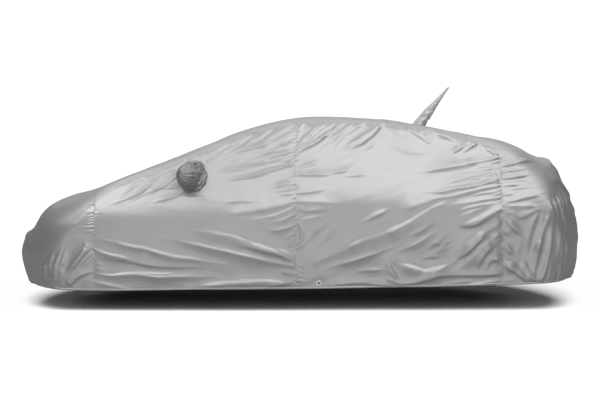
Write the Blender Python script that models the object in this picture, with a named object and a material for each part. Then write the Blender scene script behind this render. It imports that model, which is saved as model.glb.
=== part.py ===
"""Fitted cover of coated cloth in the shape in which it hangs, hollow and open below.

Metres, +X to the tail, +Y to the right-hand side, +Z up. The origin is the point under the roof
cloth where the cover is carried. Heights in the tables are from the base level, ROOF_HEIGHT lower.
"""
import math

import bmesh
import bpy
import numpy as np
from mathutils import Matrix, Vector

# --- driving dimensions -----------------------------------------------------------------------
CLOTH = 0.0024            # thickness of the hanging cloth
GAP = 0.0003              # clearance between sewn pieces
ROOF_HEIGHT = 1.468       # height of the origin, at the roof cloth's underside, above the base level
HALF_WIDTH = 0.885        # half the width of the cover at its widest, without the pockets
BELT_HEIGHT = 0.76        # where the sides start to lean in
LEAN = 0.43               # how far the side leans in for each metre above the belt
BELT_BLEND = 0.05         # height over which the belt rounds off
HEM_TUCK = 0.055          # how far the elastic hem is drawn in below the belt
ROOF_CROWN = 0.045        # fall of the cloth from the centre line to the shoulder
END_BOW = 0.17            # further bow of nose and tail in plan
SHOULDER_RADIUS = 0.15    # rounding between top and side
END_RADIUS = 0.30         # rounding of the corners at nose and tail
BOW_SPAN = (1.35, 2.15)   # distances from the middle between which the end bow comes in
CORNER_SPAN = (1.3, 2.0)  # and those between which the corner rounding comes in
LEAST_WIDTH = 0.2         # smallest half width that the bow is shared over

FRONT_SEAM = -1.50        # places of the three upright seams along the cover
MIDDLE_SEAM = -0.030
REAR_SEAM = 1.480

# outline over the centre line, from the hem at the nose to the hem at the tail: place, height
OUTLINE = (
    (-2.100, -0.300), (-2.105, 0.120), (-2.140, 0.215), (-2.164, 0.300), (-2.186, 0.385),
    (-2.197, 0.450), (-2.180, 0.510), (-2.148, 0.575), (-2.095, 0.622), (-2.070, 0.672),
    (-2.040, 0.716), (-1.965, 0.772), (-1.800, 0.848), (-1.615, 0.913), (-1.437, 0.979),
    (-1.232, 1.056), (-1.046, 1.128), (-0.775, 1.237), (-0.538, 1.337), (-0.403, 1.388),
    (-0.283, 1.423), (-0.158, 1.450), (-0.031, 1.470), (0.217, 1.480), (0.415, 1.476),
    (0.620, 1.459), (0.852, 1.428), (1.119, 1.380), (1.325, 1.335), (1.601, 1.288),
    (1.689, 1.252), (1.797, 1.201), (1.890, 1.160), (1.955, 1.146), (1.985, 1.112),
    (2.022, 1.070), (2.060, 0.977), (2.102, 0.895), (2.140, 0.805), (2.181, 0.691),
    (2.195, 0.590), (2.186, 0.470), (2.170, 0.358), (2.155, 0.265), (2.130, 0.200),
    (2.115, -0.300),
)
# half width at the belt along the cover: place, share of HALF_WIDTH
PLAN = (
    (-2.30, 0.90), (-1.90, 0.955), (-1.50, 0.985), (-1.00, 1.0), (0.60, 1.0), (1.30, 0.99),
    (1.70, 0.965), (2.00, 0.93), (2.30, 0.88),
)
# height of the hem's edge: place, height
HEM = ((-2.20, 0.186), (-1.50, 0.165), (-0.73, 0.174), (0.13, 0.180), (0.60, 0.188), (1.20, 0.199),
       (1.60, 0.211), (2.20, 0.208))
# how far the shoulder seam lies under the outline: place, drop
SEAM_DROP = ((-1.50, 0.125), (-1.38, 0.070), (-1.00, 0.058), (0.16, 0.052), (0.90, 0.058),
             (1.21, 0.076), (1.40, 0.104), (1.48, 0.112))

# --- grid of the loft -------------------------------------------------------------------------
FRONT_CELLS = 16          # cells between the front and the middle seam
PATCH_START = 0.078       # the hem patch of the eyelet, from here ...
PATCH_END = 0.198         # ... to here
BEHIND_PATCH_CELLS = 13   # cells between the patch and the rear seam
CORNER_CELLS = 6          # cells from an end seam to the corner of nose or tail
SIDE_CELLS = 9            # cells from the hem to the shoulder seam
TOP_CELLS = 10            # cells across the top
PATCH_SHARE = 0.075       # height of the hem row, as a share of the side
NOSE_FAN = (0.78, 0.82)   # slope in plan of the rays to the nose corner, at hem and at shoulder
TAIL_FAN = (0.76, 1.02)
TAIL_RISE = 1.98          # rise of the rays to the tail's upper corner
ROOF_PATCH_START = 7      # first cell behind the hem patch's end that the antenna's roof patch takes
ROOF_PATCH_CELLS = 2      # cells that the roof patch takes, along and across

# --- pockets and eyelets ----------------------------------------------------------------------
MIRROR_PLACE = (-0.778, 0.990)          # centre of the pouch: place, height
MIRROR_MOUTH = (0.084, 0.090)           # half width and half height of its sewn mouth
MIRROR_STRAIGHT = (0.006, 0.060)        # reach over which the pouch leaves the slope of the side cloth
MIRROR_END = 0.16                       # reach past which the pouch closes
# pouch from mouth to end: reach from the side cloth, share of the mouth's size
MIRROR_BAG = ((-0.004, 1.00), (0.006, 1.00), (0.022, 1.10), (0.055, 1.24), (0.095, 1.28),
              (0.130, 1.18), (0.156, 0.93), (0.170, 0.55), (0.1745, 0.18))
MIRROR_SWEEP = 0.10                     # how far the pouch leans forward for each metre out
ANTENNA_BASE = (0.950, 0.0540, 0.036)   # place, half length and half width of the sleeve's mouth
ANTENNA_TIP = (1.196, 1.728)            # place and height of the sleeve's tip
ANTENNA_LIFT = (-0.004, 0.005)          # the sleeve's mouth reaches from below the cloth to above it
ANTENNA_FOOT = 0.008                    # height over the roof cloth where the sleeve's axis starts
ANTENNA_TILT = 0.75                     # how square the rings stand to the axis
LEAST_RING = 0.0012                     # smallest half width of a ring
# sleeve from mouth to tip: share of the way, share of the mouth's size
ANTENNA_SLEEVE = ((0.10, 0.86), (0.22, 0.66), (0.36, 0.47), (0.52, 0.33), (0.70, 0.24),
                  (0.86, 0.17), (1.0, 0.11))
POCKET_SIDES = 16
POCKET_CLEARANCE = 1.3 * GAP            # room round a pocket's mouth in the cloth's hole
SIDE_CUT = (0.60, 1.05)                 # reach of the cutter through the side cloth, from the centre plane
ROOF_CUT = (-0.20, 0.10)                # heights of the cutter through the roof cloth, from the origin
EYELET_PLACE = (0.137, 0.222)           # place and height of the eyelet's centre
EYELET_HOLE = 0.008                     # radius of its hole
EYELET_BARREL = 0.0095                  # outer radius of its barrel
EYELET_RIM = 0.018                      # outer radius of its flanges
EYELET_FLAT = 0.0145                    # outer radius of the flat ring on its outer flange
EYELET_DOME = 0.0020                    # height of the outer flange
EYELET_SEAT = 0.0010                    # room between the cloth's face and each flange
EYELET_EDGE = 0.0010                    # rounding of its edges
EYELET_SIDES = 18
EYELET_CUT = 0.04                       # length of the cutter through the hem patch
STILL_PATCH = (0.12, 0.10)              # half length and half height of the smooth cloth round the eyelet
SIDE_SLOPE = (0.35, 0.60)               # sideways part of the normal between which the side folds come in
LOOSE = 0.0025                          # height of the broad unevenness

# main folds of the sides: start, middle, end (place, height), width, height of the ridge
SIDE_FOLDS = (
    (-1.100, 0.435, -0.850, 0.410, -0.560, 0.370, 0.050, 0.011),
    (-0.910, 0.550, -0.560, 0.465, -0.055, 0.360, 0.050, 0.012),
    (-0.820, 0.620, -0.420, 0.545, -0.050, 0.435, 0.052, 0.015),
    (-1.490, 0.295, -1.040, 0.275, -0.750, 0.278, 0.045, 0.009),
    (-0.690, 0.210, -0.500, 0.230, -0.060, 0.232, 0.042, 0.009),
    (-0.250, 0.760, -0.130, 0.775, -0.040, 0.785, 0.050, -0.011),
    (0.135, 0.398, 0.520, 0.560, 1.020, 0.795, 0.052, 0.016),
    (0.340, 0.640, 0.480, 0.700, 0.620, 0.765, 0.046, 0.010),
    (0.690, 0.465, 0.850, 0.535, 0.970, 0.600, 0.046, 0.011),
    (0.690, 0.390, 0.850, 0.340, 1.020, 0.340, 0.055, 0.013),
    (1.180, 0.640, 1.350, 0.680, 1.470, 0.745, 0.050, 0.013),
    (1.140, 0.360, 1.290, 0.510, 1.460, 0.690, 0.050, 0.016),
    (1.500, 0.740, 1.570, 0.650, 1.640, 0.600, 0.048, 0.012),
    (0.880, 1.010, 1.160, 1.060, 1.450, 1.115, 0.055, -0.012),
    (-1.400, 0.795, -1.180, 0.900, -0.960, 1.005, 0.052, -0.009),
    (0.010, 1.175, 0.200, 1.290, 0.350, 1.400, 0.050, -0.012),
    (0.370, 1.200, 0.520, 1.305, 0.600, 1.360, 0.050, -0.009),
    (1.690, 0.270, 1.745, 0.470, 1.800, 0.640, 0.045, -0.010),
)
FOLD_WIDEN = 1.3          # the coarse cloth here draws each fold this much wider ...
FOLD_RAISE = 1.3          # ... and higher than its table says

CLOTH_COLOUR = (0.47, 0.47, 0.48, 1.0)
METAL_COLOUR = (0.86, 0.86, 0.85, 1.0)


# --- lines and surfaces of the form -----------------------------------------------------------
def smooth_rows(rows, at):
    """Value at each place of a smooth line through rows of (place, value)."""
    table = np.array(rows, dtype=float)
    place, value = table[:, 0], table[:, 1]
    slope = np.gradient(value, place)
    at = np.clip(at, place[0], place[-1])
    k = np.clip(np.searchsorted(place, at, side="right") - 1, 0, len(place) - 2)
    span = place[k + 1] - place[k]
    t = (at - place[k]) / span
    return ((2 * t**3 - 3 * t**2 + 1) * value[k] + (t**3 - 2 * t**2 + t) * span * slope[k]
            + (3 * t**2 - 2 * t**3) * value[k + 1] + (t**3 - t**2) * span * slope[k + 1])


def step_up(value, low, high):
    """Smooth step from 0 at low to 1 at high."""
    t = np.clip((value - low) / (high - low), 0, 1)
    return t * t * (3 - 2 * t)


class Outline:
    """Signed distance to the outline over the centre line, kept on a fine table."""

    STEP = 0.01
    LOW = (-2.6, -0.1)
    SIZE = (520, 190)

    def __init__(self, rows, steps=6):
        points = np.array(rows, dtype=float)
        run = np.concatenate([[0], np.cumsum(np.hypot(*np.diff(points, axis=0).T))])
        at = np.concatenate([np.linspace(a, b, steps, endpoint=False)
                             for a, b in zip(run[:-1], run[1:])] + [[run[-1]]])
        line = np.stack([smooth_rows(list(zip(run, points[:, c])), at) for c in (0, 1)], axis=1)
        gx, gz = np.meshgrid(self.LOW[0] + self.STEP * np.arange(self.SIZE[0]),
                             self.LOW[1] + self.STEP * np.arange(self.SIZE[1]), indexing="ij")
        nearest = np.full(gx.shape, 9.0)
        inside = np.zeros(gx.shape, dtype=bool)
        for (ax, az), (bx, bz) in zip(line[:-1], line[1:]):
            dx, dz = bx - ax, bz - az
            t = np.clip(((gx - ax) * dx + (gz - az) * dz) / (dx * dx + dz * dz), 0, 1)
            nearest = np.minimum(nearest, np.hypot(gx - ax - t * dx, gz - az - t * dz))
            spans = (ax <= gx) != (bx <= gx)
            below = gz < az + (gx - ax) * dz / (dx if dx else 1e-9)
            inside ^= spans & below
        self.table = np.where(inside, -nearest, nearest)

    def distance(self, x, z):
        """Distance of points in the centre plane from the outline, negative inside."""
        u = np.clip((x - self.LOW[0]) / self.STEP, 0, self.SIZE[0] - 1.001)
        v = np.clip((z - self.LOW[1]) / self.STEP, 0, self.SIZE[1] - 1.001)
        i, j = u.astype(int), v.astype(int)
        fu, fv = u - i, v - j
        t = self.table
        return ((t[i, j] * (1 - fu) + t[i + 1, j] * fu) * (1 - fv)
                + (t[i, j + 1] * (1 - fu) + t[i + 1, j + 1] * fu) * fv)


OUTLINE_FIELD = Outline(OUTLINE)


def half_width(x, z):
    """Half width of the hanging cloth at a place and height."""
    width = HALF_WIDTH * smooth_rows(PLAN, x)
    above = BELT_BLEND * np.logaddexp(0, (z - BELT_HEIGHT) / BELT_BLEND)
    below = np.clip((BELT_HEIGHT - z) / BELT_HEIGHT, 0, 1)
    return width - LEAN * above - HEM_TUCK * below**2


def form(point):
    """Distance-like value of points (..., 3) from the hanging form, negative inside."""
    x, y, z = point[..., 0], np.abs(point[..., 1]), point[..., 2]
    width = half_width(x, z)
    bow = ROOF_CROWN + END_BOW * step_up(np.abs(x), *BOW_SPAN)
    radius = SHOULDER_RADIUS + (END_RADIUS - SHOULDER_RADIUS) * step_up(np.abs(x), *CORNER_SPAN)
    over = OUTLINE_FIELD.distance(x, z) + bow * (y / np.maximum(width, LEAST_WIDTH)) ** 2
    side = y - width
    corner = np.hypot(np.maximum(over + radius, 0), np.maximum(side + radius, 0))
    return np.minimum(np.maximum(over, side), -radius) + corner


def hit(origin, direction):
    """Where rays from inside meet the form; arrays (..., 3)."""
    low = np.zeros(direction.shape[:-1])
    high = low + 4.0 / np.linalg.norm(direction, axis=-1)
    for _ in range(34):
        middle = (low + high) / 2
        inside = form(origin + middle[..., None] * direction) < 0
        low, high = np.where(inside, middle, low), np.where(inside, high, middle)
    return origin + high[..., None] * direction


def outward(point):
    """Unit normals of the form at points (..., 3)."""
    h = 0.004
    parts = [form(point + h * e) - form(point - h * e) for e in np.eye(3)]
    normal = np.stack(parts, axis=-1)
    return normal / np.linalg.norm(normal, axis=-1, keepdims=True)


def ridge(x, z, rows, widen):
    """Height of the folds of a table at places and heights."""
    total = np.zeros(np.shape(x))
    for x0, z0, x1, z1, x2, z2, width, height in rows:
        best = np.full(np.shape(x), 9.0)
        for (ax, az), (bx, bz) in (((x0, z0), (x1, z1)), ((x1, z1), (x2, z2))):
            dx, dz = bx - ax, bz - az
            t = np.clip(((x - ax) * dx + (z - az) * dz) / (dx * dx + dz * dz), 0, 1)
            best = np.minimum(best, np.hypot(x - ax - t * dx, z - az - t * dz))
        total += height * np.exp(-(best / (width * widen)) ** 2)
    return total


# --- the loft ---------------------------------------------------------------------------------
def rise_at(x):
    """Rise of the ray that meets the shoulder seam in the upright section at x."""
    goal = top_height(x) - float(smooth_rows(SEAM_DROP, x))
    low, high = 0.1, 6.0
    origin = np.array([x, 0.0, float(smooth_rows(HEM, x))])
    for _ in range(30):
        middle = (low + high) / 2
        point = hit(origin[None], np.array([[0.0, -1.0, middle]]))[0]
        low, high = (middle, high) if point[2] < goal else (low, middle)
    return high


def top_height(x):
    """Height of the form over the centre line."""
    return float(hit(np.array([[x, 0.0, 0.3]]), np.array([[0.0, 0.0, 1.0]]))[0, 2])


def even_shares(origin, directions, count, first=None):
    """Shares of a fan of rays that part its line on the form into equal stretches."""
    points = hit(origin, directions)
    run = np.concatenate([[0], np.cumsum(np.linalg.norm(np.diff(points, axis=0), axis=1))])
    goals = np.linspace(0, 1, count + 1)
    if first:
        goals = np.concatenate([[0], np.linspace(first, 1, count)])
    return np.interp(goals * run[-1], run, np.linspace(0, 1, len(run)))


def stations():
    """Rows of (place, share of the way to the corner, end) from nose corner to tail corner."""
    rows = [(FRONT_SEAM, t, "nose") for t in np.linspace(1, 0, CORNER_CELLS + 1)[:-1]]
    rows += [(x, 0.0, "") for x in np.linspace(FRONT_SEAM, MIDDLE_SEAM, FRONT_CELLS + 1)[:-1]]
    rows += [(MIDDLE_SEAM, 0.0, ""), (PATCH_START, 0.0, "")]
    rows += [(x, 0.0, "") for x in np.linspace(PATCH_END, REAR_SEAM, BEHIND_PATCH_CELLS + 1)]
    rows += [(REAR_SEAM, t, "tail") for t in np.linspace(0, 1, CORNER_CELLS + 1)[1:]]
    return rows


def station_rays(x, share, end):
    """Fan of one station: function of (side share, across share) giving ray directions."""
    rise = rise_at(x)
    fan = {"nose": NOSE_FAN, "tail": TAIL_FAN, "": (0.0, 0.0)}[end]
    sign = 1.0 if end == "tail" else -1.0
    if end == "tail":
        rise += (TAIL_RISE - rise) * share

    def side(c, hand):
        slope = sign * share * (fan[0] + (fan[1] - fan[0]) * c)
        return np.stack([slope, np.full(c.shape, hand), c * rise], axis=-1)

    def top(b):
        return np.stack([np.full(b.shape, sign * share * fan[1]), b, np.full(b.shape, rise)], axis=-1)

    return side, top


def body_rows():
    """Points of every station, hem to hem over the top, and the shares at the two corners."""
    rows, shares = [], []
    dense = np.linspace(0, 1, 120)
    for x, share, end in stations():
        side, top = station_rays(x, share, end)
        origin = np.array([x, 0.0, float(smooth_rows(HEM, x))])
        up = even_shares(origin, side(dense, -1.0), SIDE_CELLS, PATCH_SHARE)
        across = 2 * even_shares(origin, top(2 * dense - 1), TOP_CELLS) - 1
        rays = np.concatenate([side(up, -1.0), top(across)[1:-1], side(up[::-1], 1.0)])
        rows.append(hit(origin, rays))
        shares.append((up, across))
    return np.array(rows), shares[0], shares[-1]


def end_face(end, shares):
    """Grid of the nose's or the tail's own face, hem to top and left to right."""
    x, share, _ = stations()[0 if end == "nose" else -1]
    side, top = station_rays(x, share, end)
    up, across = shares
    origin = np.array([x, 0.0, float(smooth_rows(HEM, x))])
    left, right = side(up, -1.0), side(up, 1.0)
    weight = ((across + 1) / 2)[None, :, None]
    rays = left[:, None, :] * (1 - weight) + right[:, None, :] * weight
    return hit(origin, rays)


class Skin:
    """All grid points of the cover with their shared normals, and its quads by panel."""

    def __init__(self):
        rows, nose_shares, tail_shares = body_rows()
        self.count, self.girth = rows.shape[:2]
        self.points = [p for row in rows for p in row]
        self.quads = []
        self.nose = self.add_face(end_face("nose", nose_shares), 0)
        self.tail = self.add_face(end_face("tail", tail_shares), self.count - 1)
        base = np.array(self.points)
        self.normals = outward(base)
        self.points = base + self.normals * self.unevenness(base)[:, None]
        self.points[:, 2] -= ROOF_HEIGHT

    def index(self, i, j):
        """Number of the body's grid point at station i and girth place j."""
        return i * self.girth + j

    def add_face(self, grid, station):
        """Add an end face; its border is the station's own line."""
        ups, wide = SIDE_CELLS + 1, TOP_CELLS + 1
        numbers = np.zeros((ups, wide), dtype=int)
        for k in range(ups):
            for j in range(wide):
                if j == 0:
                    numbers[k, j] = self.index(station, k)
                elif j == wide - 1:
                    numbers[k, j] = self.index(station, self.girth - 1 - k)
                elif k == ups - 1:
                    numbers[k, j] = self.index(station, SIDE_CELLS + j)
                else:
                    numbers[k, j] = len(self.points)
                    self.points.append(grid[k, j])
        return numbers

    def unevenness(self, base):
        """Height of the main folds at the form's points."""
        x, y, z = base.T
        face = np.abs(self.normals[:, 1])
        fold = FOLD_RAISE * ridge(x, z, SIDE_FOLDS, FOLD_WIDEN) * step_up(face, *SIDE_SLOPE)
        still = np.exp(-(((x - EYELET_PLACE[0]) / STILL_PATCH[0]) ** 2
                         + ((z - EYELET_PLACE[1]) / STILL_PATCH[1]) ** 2) ** 2)
        loose = LOOSE * np.sin(5.1 * x + 3.0 * y) * np.sin(7.3 * z + 2.0 * y)
        return (fold + loose) * (1 - still)

    def body_quads(self, i_range, j_range):
        """Quads of the body between stations and between girth places."""
        return [(self.index(i, j), self.index(i + 1, j), self.index(i + 1, j + 1), self.index(i, j + 1))
                for i in i_range for j in j_range]

    def face_quads(self, numbers, flip):
        """Quads of an end face."""
        out = []
        for k in range(numbers.shape[0] - 1):
            for j in range(numbers.shape[1] - 1):
                quad = (numbers[k, j], numbers[k, j + 1], numbers[k + 1, j + 1], numbers[k + 1, j])
                out.append(tuple(int(n) for n in (quad[::-1] if flip else quad)))
        return out


def panel_quads(skin):
    """Quads of every panel by its name."""
    front = CORNER_CELLS
    middle = front + FRONT_CELLS
    patch = middle + 1
    rear = patch + 1 + BEHIND_PATCH_CELLS
    last = skin.count - 1
    left, top = range(SIDE_CELLS), range(SIDE_CELLS, SIDE_CELLS + TOP_CELLS)
    right = range(SIDE_CELLS + TOP_CELLS, skin.girth - 1)
    first = patch + 1 + ROOF_PATCH_START
    centre = SIDE_CELLS + TOP_CELLS // 2
    half = ROOF_PATCH_CELLS // 2
    roof_patch = skin.body_quads(range(first, first + ROOF_PATCH_CELLS), range(centre - half, centre + half))
    panels = {
        "top_panel": [q for q in skin.body_quads(range(front, last), top) if q not in roof_patch],
        "antenna_patch": roof_patch,
        "nose_panel": (skin.body_quads(range(front), range(skin.girth - 1))
                       + skin.face_quads(skin.nose, True)),
        "tail_panel": (skin.body_quads(range(rear, last), left) + skin.body_quads(range(rear, last), right)
                       + skin.face_quads(skin.tail, False)),
    }
    for hand, girth, hem in (("left", left, 0), ("right", right, skin.girth - 2)):
        panels["front_side_" + hand] = skin.body_quads(range(front, middle), girth)
        patch_quad = skin.body_quads([patch], [hem])
        rear_quads = skin.body_quads(range(middle, rear), girth)
        panels["rear_side_" + hand] = [q for q in rear_quads if q not in patch_quad]
        panels["grommet_patch_" + hand] = patch_quad
    return panels


# --- making objects ---------------------------------------------------------------------------
def clear_scene():
    """Remove whatever the file holds."""
    for old in list(bpy.data.objects):
        bpy.data.objects.remove(old, do_unlink=True)


def make_collection(name):
    """New collection in the scene."""
    group = bpy.data.collections.new(name)
    bpy.context.scene.collection.children.link(group)
    return group


def make_material(name, colour, roughness, metallic=0.0):
    """Principled material of one finish."""
    material = bpy.data.materials.new(name)
    material.use_nodes = True
    shader = material.node_tree.nodes["Principled BSDF"]
    shader.inputs["Base Color"].default_value = colour
    shader.inputs["Roughness"].default_value = roughness
    shader.inputs["Metallic"].default_value = metallic
    return material


def make_object(name, bm, group, material=None):
    """Object from a finished bmesh."""
    bmesh.ops.recalc_face_normals(bm, faces=bm.faces[:])
    mesh = bpy.data.meshes.new(name)
    bm.to_mesh(mesh)
    bm.free()
    made = bpy.data.objects.new(name, mesh)
    group.objects.link(made)
    if material:
        mesh.materials.append(material)
    return made


def panel_object(name, skin, quads, group, material):
    """Sheet of cloth: the panel's skin, drawn in by the gap at its edges, and its inner side."""
    used = sorted({n for quad in quads for n in quad})
    number = {n: k for k, n in enumerate(used)}
    points = skin.points[used].copy()
    normals = skin.normals[used]
    bm = bmesh.new()
    verts = [bm.verts.new(p - CLOTH * n) for p, n in zip(points, normals)]
    for quad in quads:
        bm.faces.new([verts[number[n]] for n in quad])
    bm.verts.index_update()
    for vert in verts:
        if vert.is_boundary:
            inward = sum((f.calc_center_median() - vert.co for f in vert.link_faces), Vector())
            inward -= Vector(normals[vert.index]) * inward.dot(Vector(normals[vert.index]))
            points[vert.index] += np.array(inward.normalized() * GAP)
    for vert, point, normal in zip(verts, points, normals):
        vert.co = point - CLOTH * normal
    made = bmesh.ops.extrude_face_region(bm, geom=bm.faces[:], use_keep_orig=True)
    outer = [v for v in made["geom"] if isinstance(v, bmesh.types.BMVert)]
    place = {tuple(round(c, 7) for c in v.co): k for k, v in enumerate(verts)}
    for vert in outer:
        vert.co = points[place[tuple(round(c, 7) for c in vert.co)]]
    return make_object(name, bm, group, material)


def ring_shell(name, outer_rings, inner_rings, group, material):
    """Closed thin bag between outer and inner rings, open at the first ring."""
    bm = bmesh.new()

    def skin_of(rings):
        rows = [[bm.verts.new(p) for p in ring] for ring in rings]
        for a, b in zip(rows[:-1], rows[1:]):
            for k in range(len(a)):
                m = (k + 1) % len(a)
                bm.faces.new((a[k], a[m], b[m], b[k]))
        bm.faces.new(rows[-1])
        return rows[0]

    mouth_out, mouth_in = skin_of(outer_rings), skin_of(inner_rings)
    for k in range(len(mouth_out)):
        m = (k + 1) % len(mouth_out)
        bm.faces.new((mouth_out[k], mouth_out[m], mouth_in[m], mouth_in[k]))
    return make_object(name, bm, group, material)


def side_reach(x, z):
    """Distance of the side's cloth from the centre plane at places and heights."""
    low, high = np.zeros(np.shape(x)), np.full(np.shape(x), 1.2)
    for _ in range(34):
        middle = (low + high) / 2
        inside = form(np.stack([x, middle, z], axis=-1)) < 0
        low, high = np.where(inside, middle, low), np.where(inside, high, middle)
    return high


def roof_reach(x, y):
    """Height of the top's cloth over places."""
    low, high = np.full(np.shape(x), 0.3), np.full(np.shape(x), 1.8)
    for _ in range(34):
        middle = (low + high) / 2
        inside = form(np.stack([x, y, middle], axis=-1)) < 0
        low, high = np.where(inside, middle, low), np.where(inside, high, middle)
    return high


def mirror_rings(hand, wall):
    """Rings of a mirror pouch, shrunk by the wall for its inner side."""
    turn = np.linspace(0, 2 * math.pi, POCKET_SIDES, endpoint=False)
    cx, cz = MIRROR_PLACE
    mouth_x, mouth_z = cx + MIRROR_MOUTH[0] * np.cos(turn), cz + MIRROR_MOUTH[1] * np.sin(turn)
    side_y = side_reach(mouth_x, mouth_z)
    middle_y = float(side_reach(np.array(cx), np.array(cz)))
    rings = []
    for reach, size in MIRROR_BAG:
        flat = step_up(reach, *MIRROR_STRAIGHT)
        end = reach if reach < MIRROR_END else reach - wall
        y = side_y * (1 - flat) + middle_y * flat + end
        sweep = MIRROR_SWEEP * max(reach - MIRROR_STRAIGHT[0], 0)
        x = cx + (MIRROR_MOUTH[0] * size - wall) * np.cos(turn) - sweep
        z = cz + (MIRROR_MOUTH[1] * size - wall) * np.sin(turn)
        rings.append(np.stack([x, hand * y, z - ROOF_HEIGHT], axis=-1))
    return rings


def antenna_rings(wall):
    """Rings of the antenna sleeve, shrunk by the wall for its inner side."""
    turn = np.linspace(0, 2 * math.pi, POCKET_SIDES, endpoint=False)
    cx, length, width = ANTENNA_BASE
    x = cx + (length - wall) * np.cos(turn)
    y = (width - wall) * np.sin(turn)
    on_roof = roof_reach(cx + length * np.cos(turn), width * np.sin(turn))
    start_z = float(roof_reach(np.array(cx), np.array(0.0))) + ANTENNA_FOOT
    rings = [np.stack([x, y, on_roof + lift - ROOF_HEIGHT], axis=-1) for lift in ANTENNA_LIFT]
    for way, size in ANTENNA_SLEEVE:
        px = cx + (ANTENNA_TIP[0] - cx) * way
        pz = start_z + (ANTENNA_TIP[1] - start_z) * way
        a, b = max(length * size - wall, LEAST_RING), max(width * size - wall, LEAST_RING)
        tilt = ANTENNA_TILT * (ANTENNA_TIP[0] - cx) / (ANTENNA_TIP[1] - start_z)
        drop = wall if way == 1.0 else 0.0
        rings.append(np.stack([px + a * np.cos(turn), b * np.sin(turn),
                               pz - drop - tilt * a * np.cos(turn) - ROOF_HEIGHT], axis=-1))
    return rings


def cut(target, cutter):
    """Exact boolean difference that stays on the target."""
    modifier = target.modifiers.new("cut_" + cutter.name, "BOOLEAN")
    modifier.operation = "DIFFERENCE"
    modifier.solver = "EXACT"
    modifier.object = cutter


def plug(name, ring_low, ring_high, group):
    """Cutter between two like rings."""
    bm = bmesh.new()
    low = [bm.verts.new(p) for p in ring_low]
    high = [bm.verts.new(p) for p in ring_high]
    for k in range(len(low)):
        m = (k + 1) % len(low)
        bm.faces.new((low[k], low[m], high[m], high[k]))
    bm.faces.new(low)
    bm.faces.new(high)
    made = make_object(name, bm, group)
    made.hide_render = True
    made.display_type = "WIRE"
    return made


def make_mirror_pocket(name, hand, panel, group, cutters, material):
    """Mirror pouch and the hole that it is sewn round."""
    ring_shell(name, mirror_rings(hand, 0.0), mirror_rings(hand, CLOTH), group, material)
    turn = np.linspace(0, 2 * math.pi, POCKET_SIDES, endpoint=False)
    x = MIRROR_PLACE[0] + (MIRROR_MOUTH[0] + POCKET_CLEARANCE) * np.cos(turn)
    z = MIRROR_PLACE[1] + (MIRROR_MOUTH[1] + POCKET_CLEARANCE) * np.sin(turn) - ROOF_HEIGHT
    low, high = (np.stack([x, np.full(x.shape, hand * y), z], axis=-1) for y in SIDE_CUT)
    cut(panel, plug(name + "_hole", low, high, cutters))


def make_antenna_pocket(panel, group, cutters, material):
    """Antenna sleeve and the hole that it is sewn round."""
    ring_shell("antenna_pocket", antenna_rings(0.0), antenna_rings(CLOTH), group, material)
    turn = np.linspace(0, 2 * math.pi, POCKET_SIDES, endpoint=False)
    cx, length, width = ANTENNA_BASE
    x = cx + (length + POCKET_CLEARANCE) * np.cos(turn)
    y = (width + POCKET_CLEARANCE) * np.sin(turn)
    low, high = (np.stack([x, y, np.full(x.shape, z)], axis=-1) for z in ROOF_CUT)
    cut(panel, plug("antenna_hole", low, high, cutters))


def make_grommet(name, hand, panel, group, cutters, metal):
    """Two-flanged eyelet through the hem patch and the hole that it sits in."""
    bm = bmesh.new()
    mid = CLOTH / 2 + EYELET_SEAT
    face = -mid - EYELET_DOME
    edge = EYELET_EDGE
    section = ((EYELET_HOLE, face + edge), (EYELET_HOLE + edge, face), (EYELET_FLAT, face),
               (EYELET_RIM - edge, -mid - edge), (EYELET_RIM, -mid), (EYELET_BARREL, -mid),
               (EYELET_BARREL, mid), (EYELET_RIM - edge, mid), (EYELET_RIM - edge, mid + edge),
               (EYELET_HOLE + edge, mid + edge), (EYELET_HOLE, mid + edge / 2))
    verts = [bm.verts.new((r, 0.0, z)) for r, z in section]
    edges = [bm.edges.new((verts[k], verts[(k + 1) % len(verts)])) for k in range(len(verts))]
    bmesh.ops.spin(bm, geom=verts + edges, cent=(0, 0, 0), axis=(0, 0, 1), angle=2 * math.pi,
                   steps=EYELET_SIDES, use_duplicate=False)
    bmesh.ops.remove_doubles(bm, verts=bm.verts[:], dist=1e-5)
    made = make_object(name, bm, group, metal)
    frame = patch_frame(panel, hand)
    made.matrix_world = frame
    bm = bmesh.new()
    bmesh.ops.create_cone(bm, cap_ends=True, segments=EYELET_SIDES, radius1=EYELET_BARREL + 2 * GAP,
                          radius2=EYELET_BARREL + 2 * GAP, depth=EYELET_CUT)
    cutter = make_object(name + "_hole", bm, cutters)
    cutter.matrix_world = frame
    cutter.hide_render = True
    cutter.display_type = "WIRE"
    cut(panel, cutter)
    return made


def patch_frame(panel, hand):
    """Frame at the eyelet: its -Z looks out of the cloth, its origin is in the cloth's middle."""
    corners = np.array([v.co[:] for v in panel.data.vertices])
    centre = corners.mean(axis=0)
    _, _, axes = np.linalg.svd(corners - centre)
    normal = axes[2] * (1 if axes[2][1] * hand > 0 else -1)
    goal = np.array([EYELET_PLACE[0], 0.0, EYELET_PLACE[1] - ROOF_HEIGHT])
    goal[1] = centre[1] - ((goal[0] - centre[0]) * normal[0] + (goal[2] - centre[2]) * normal[2]) / normal[1]
    inward = Vector(-normal)
    across = Vector((1, 0, 0)) - inward * inward.x
    across.normalize()
    frame = Matrix((across, inward.cross(across), inward)).transposed().to_4x4()
    frame.translation = Vector(goal)
    return frame


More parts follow.
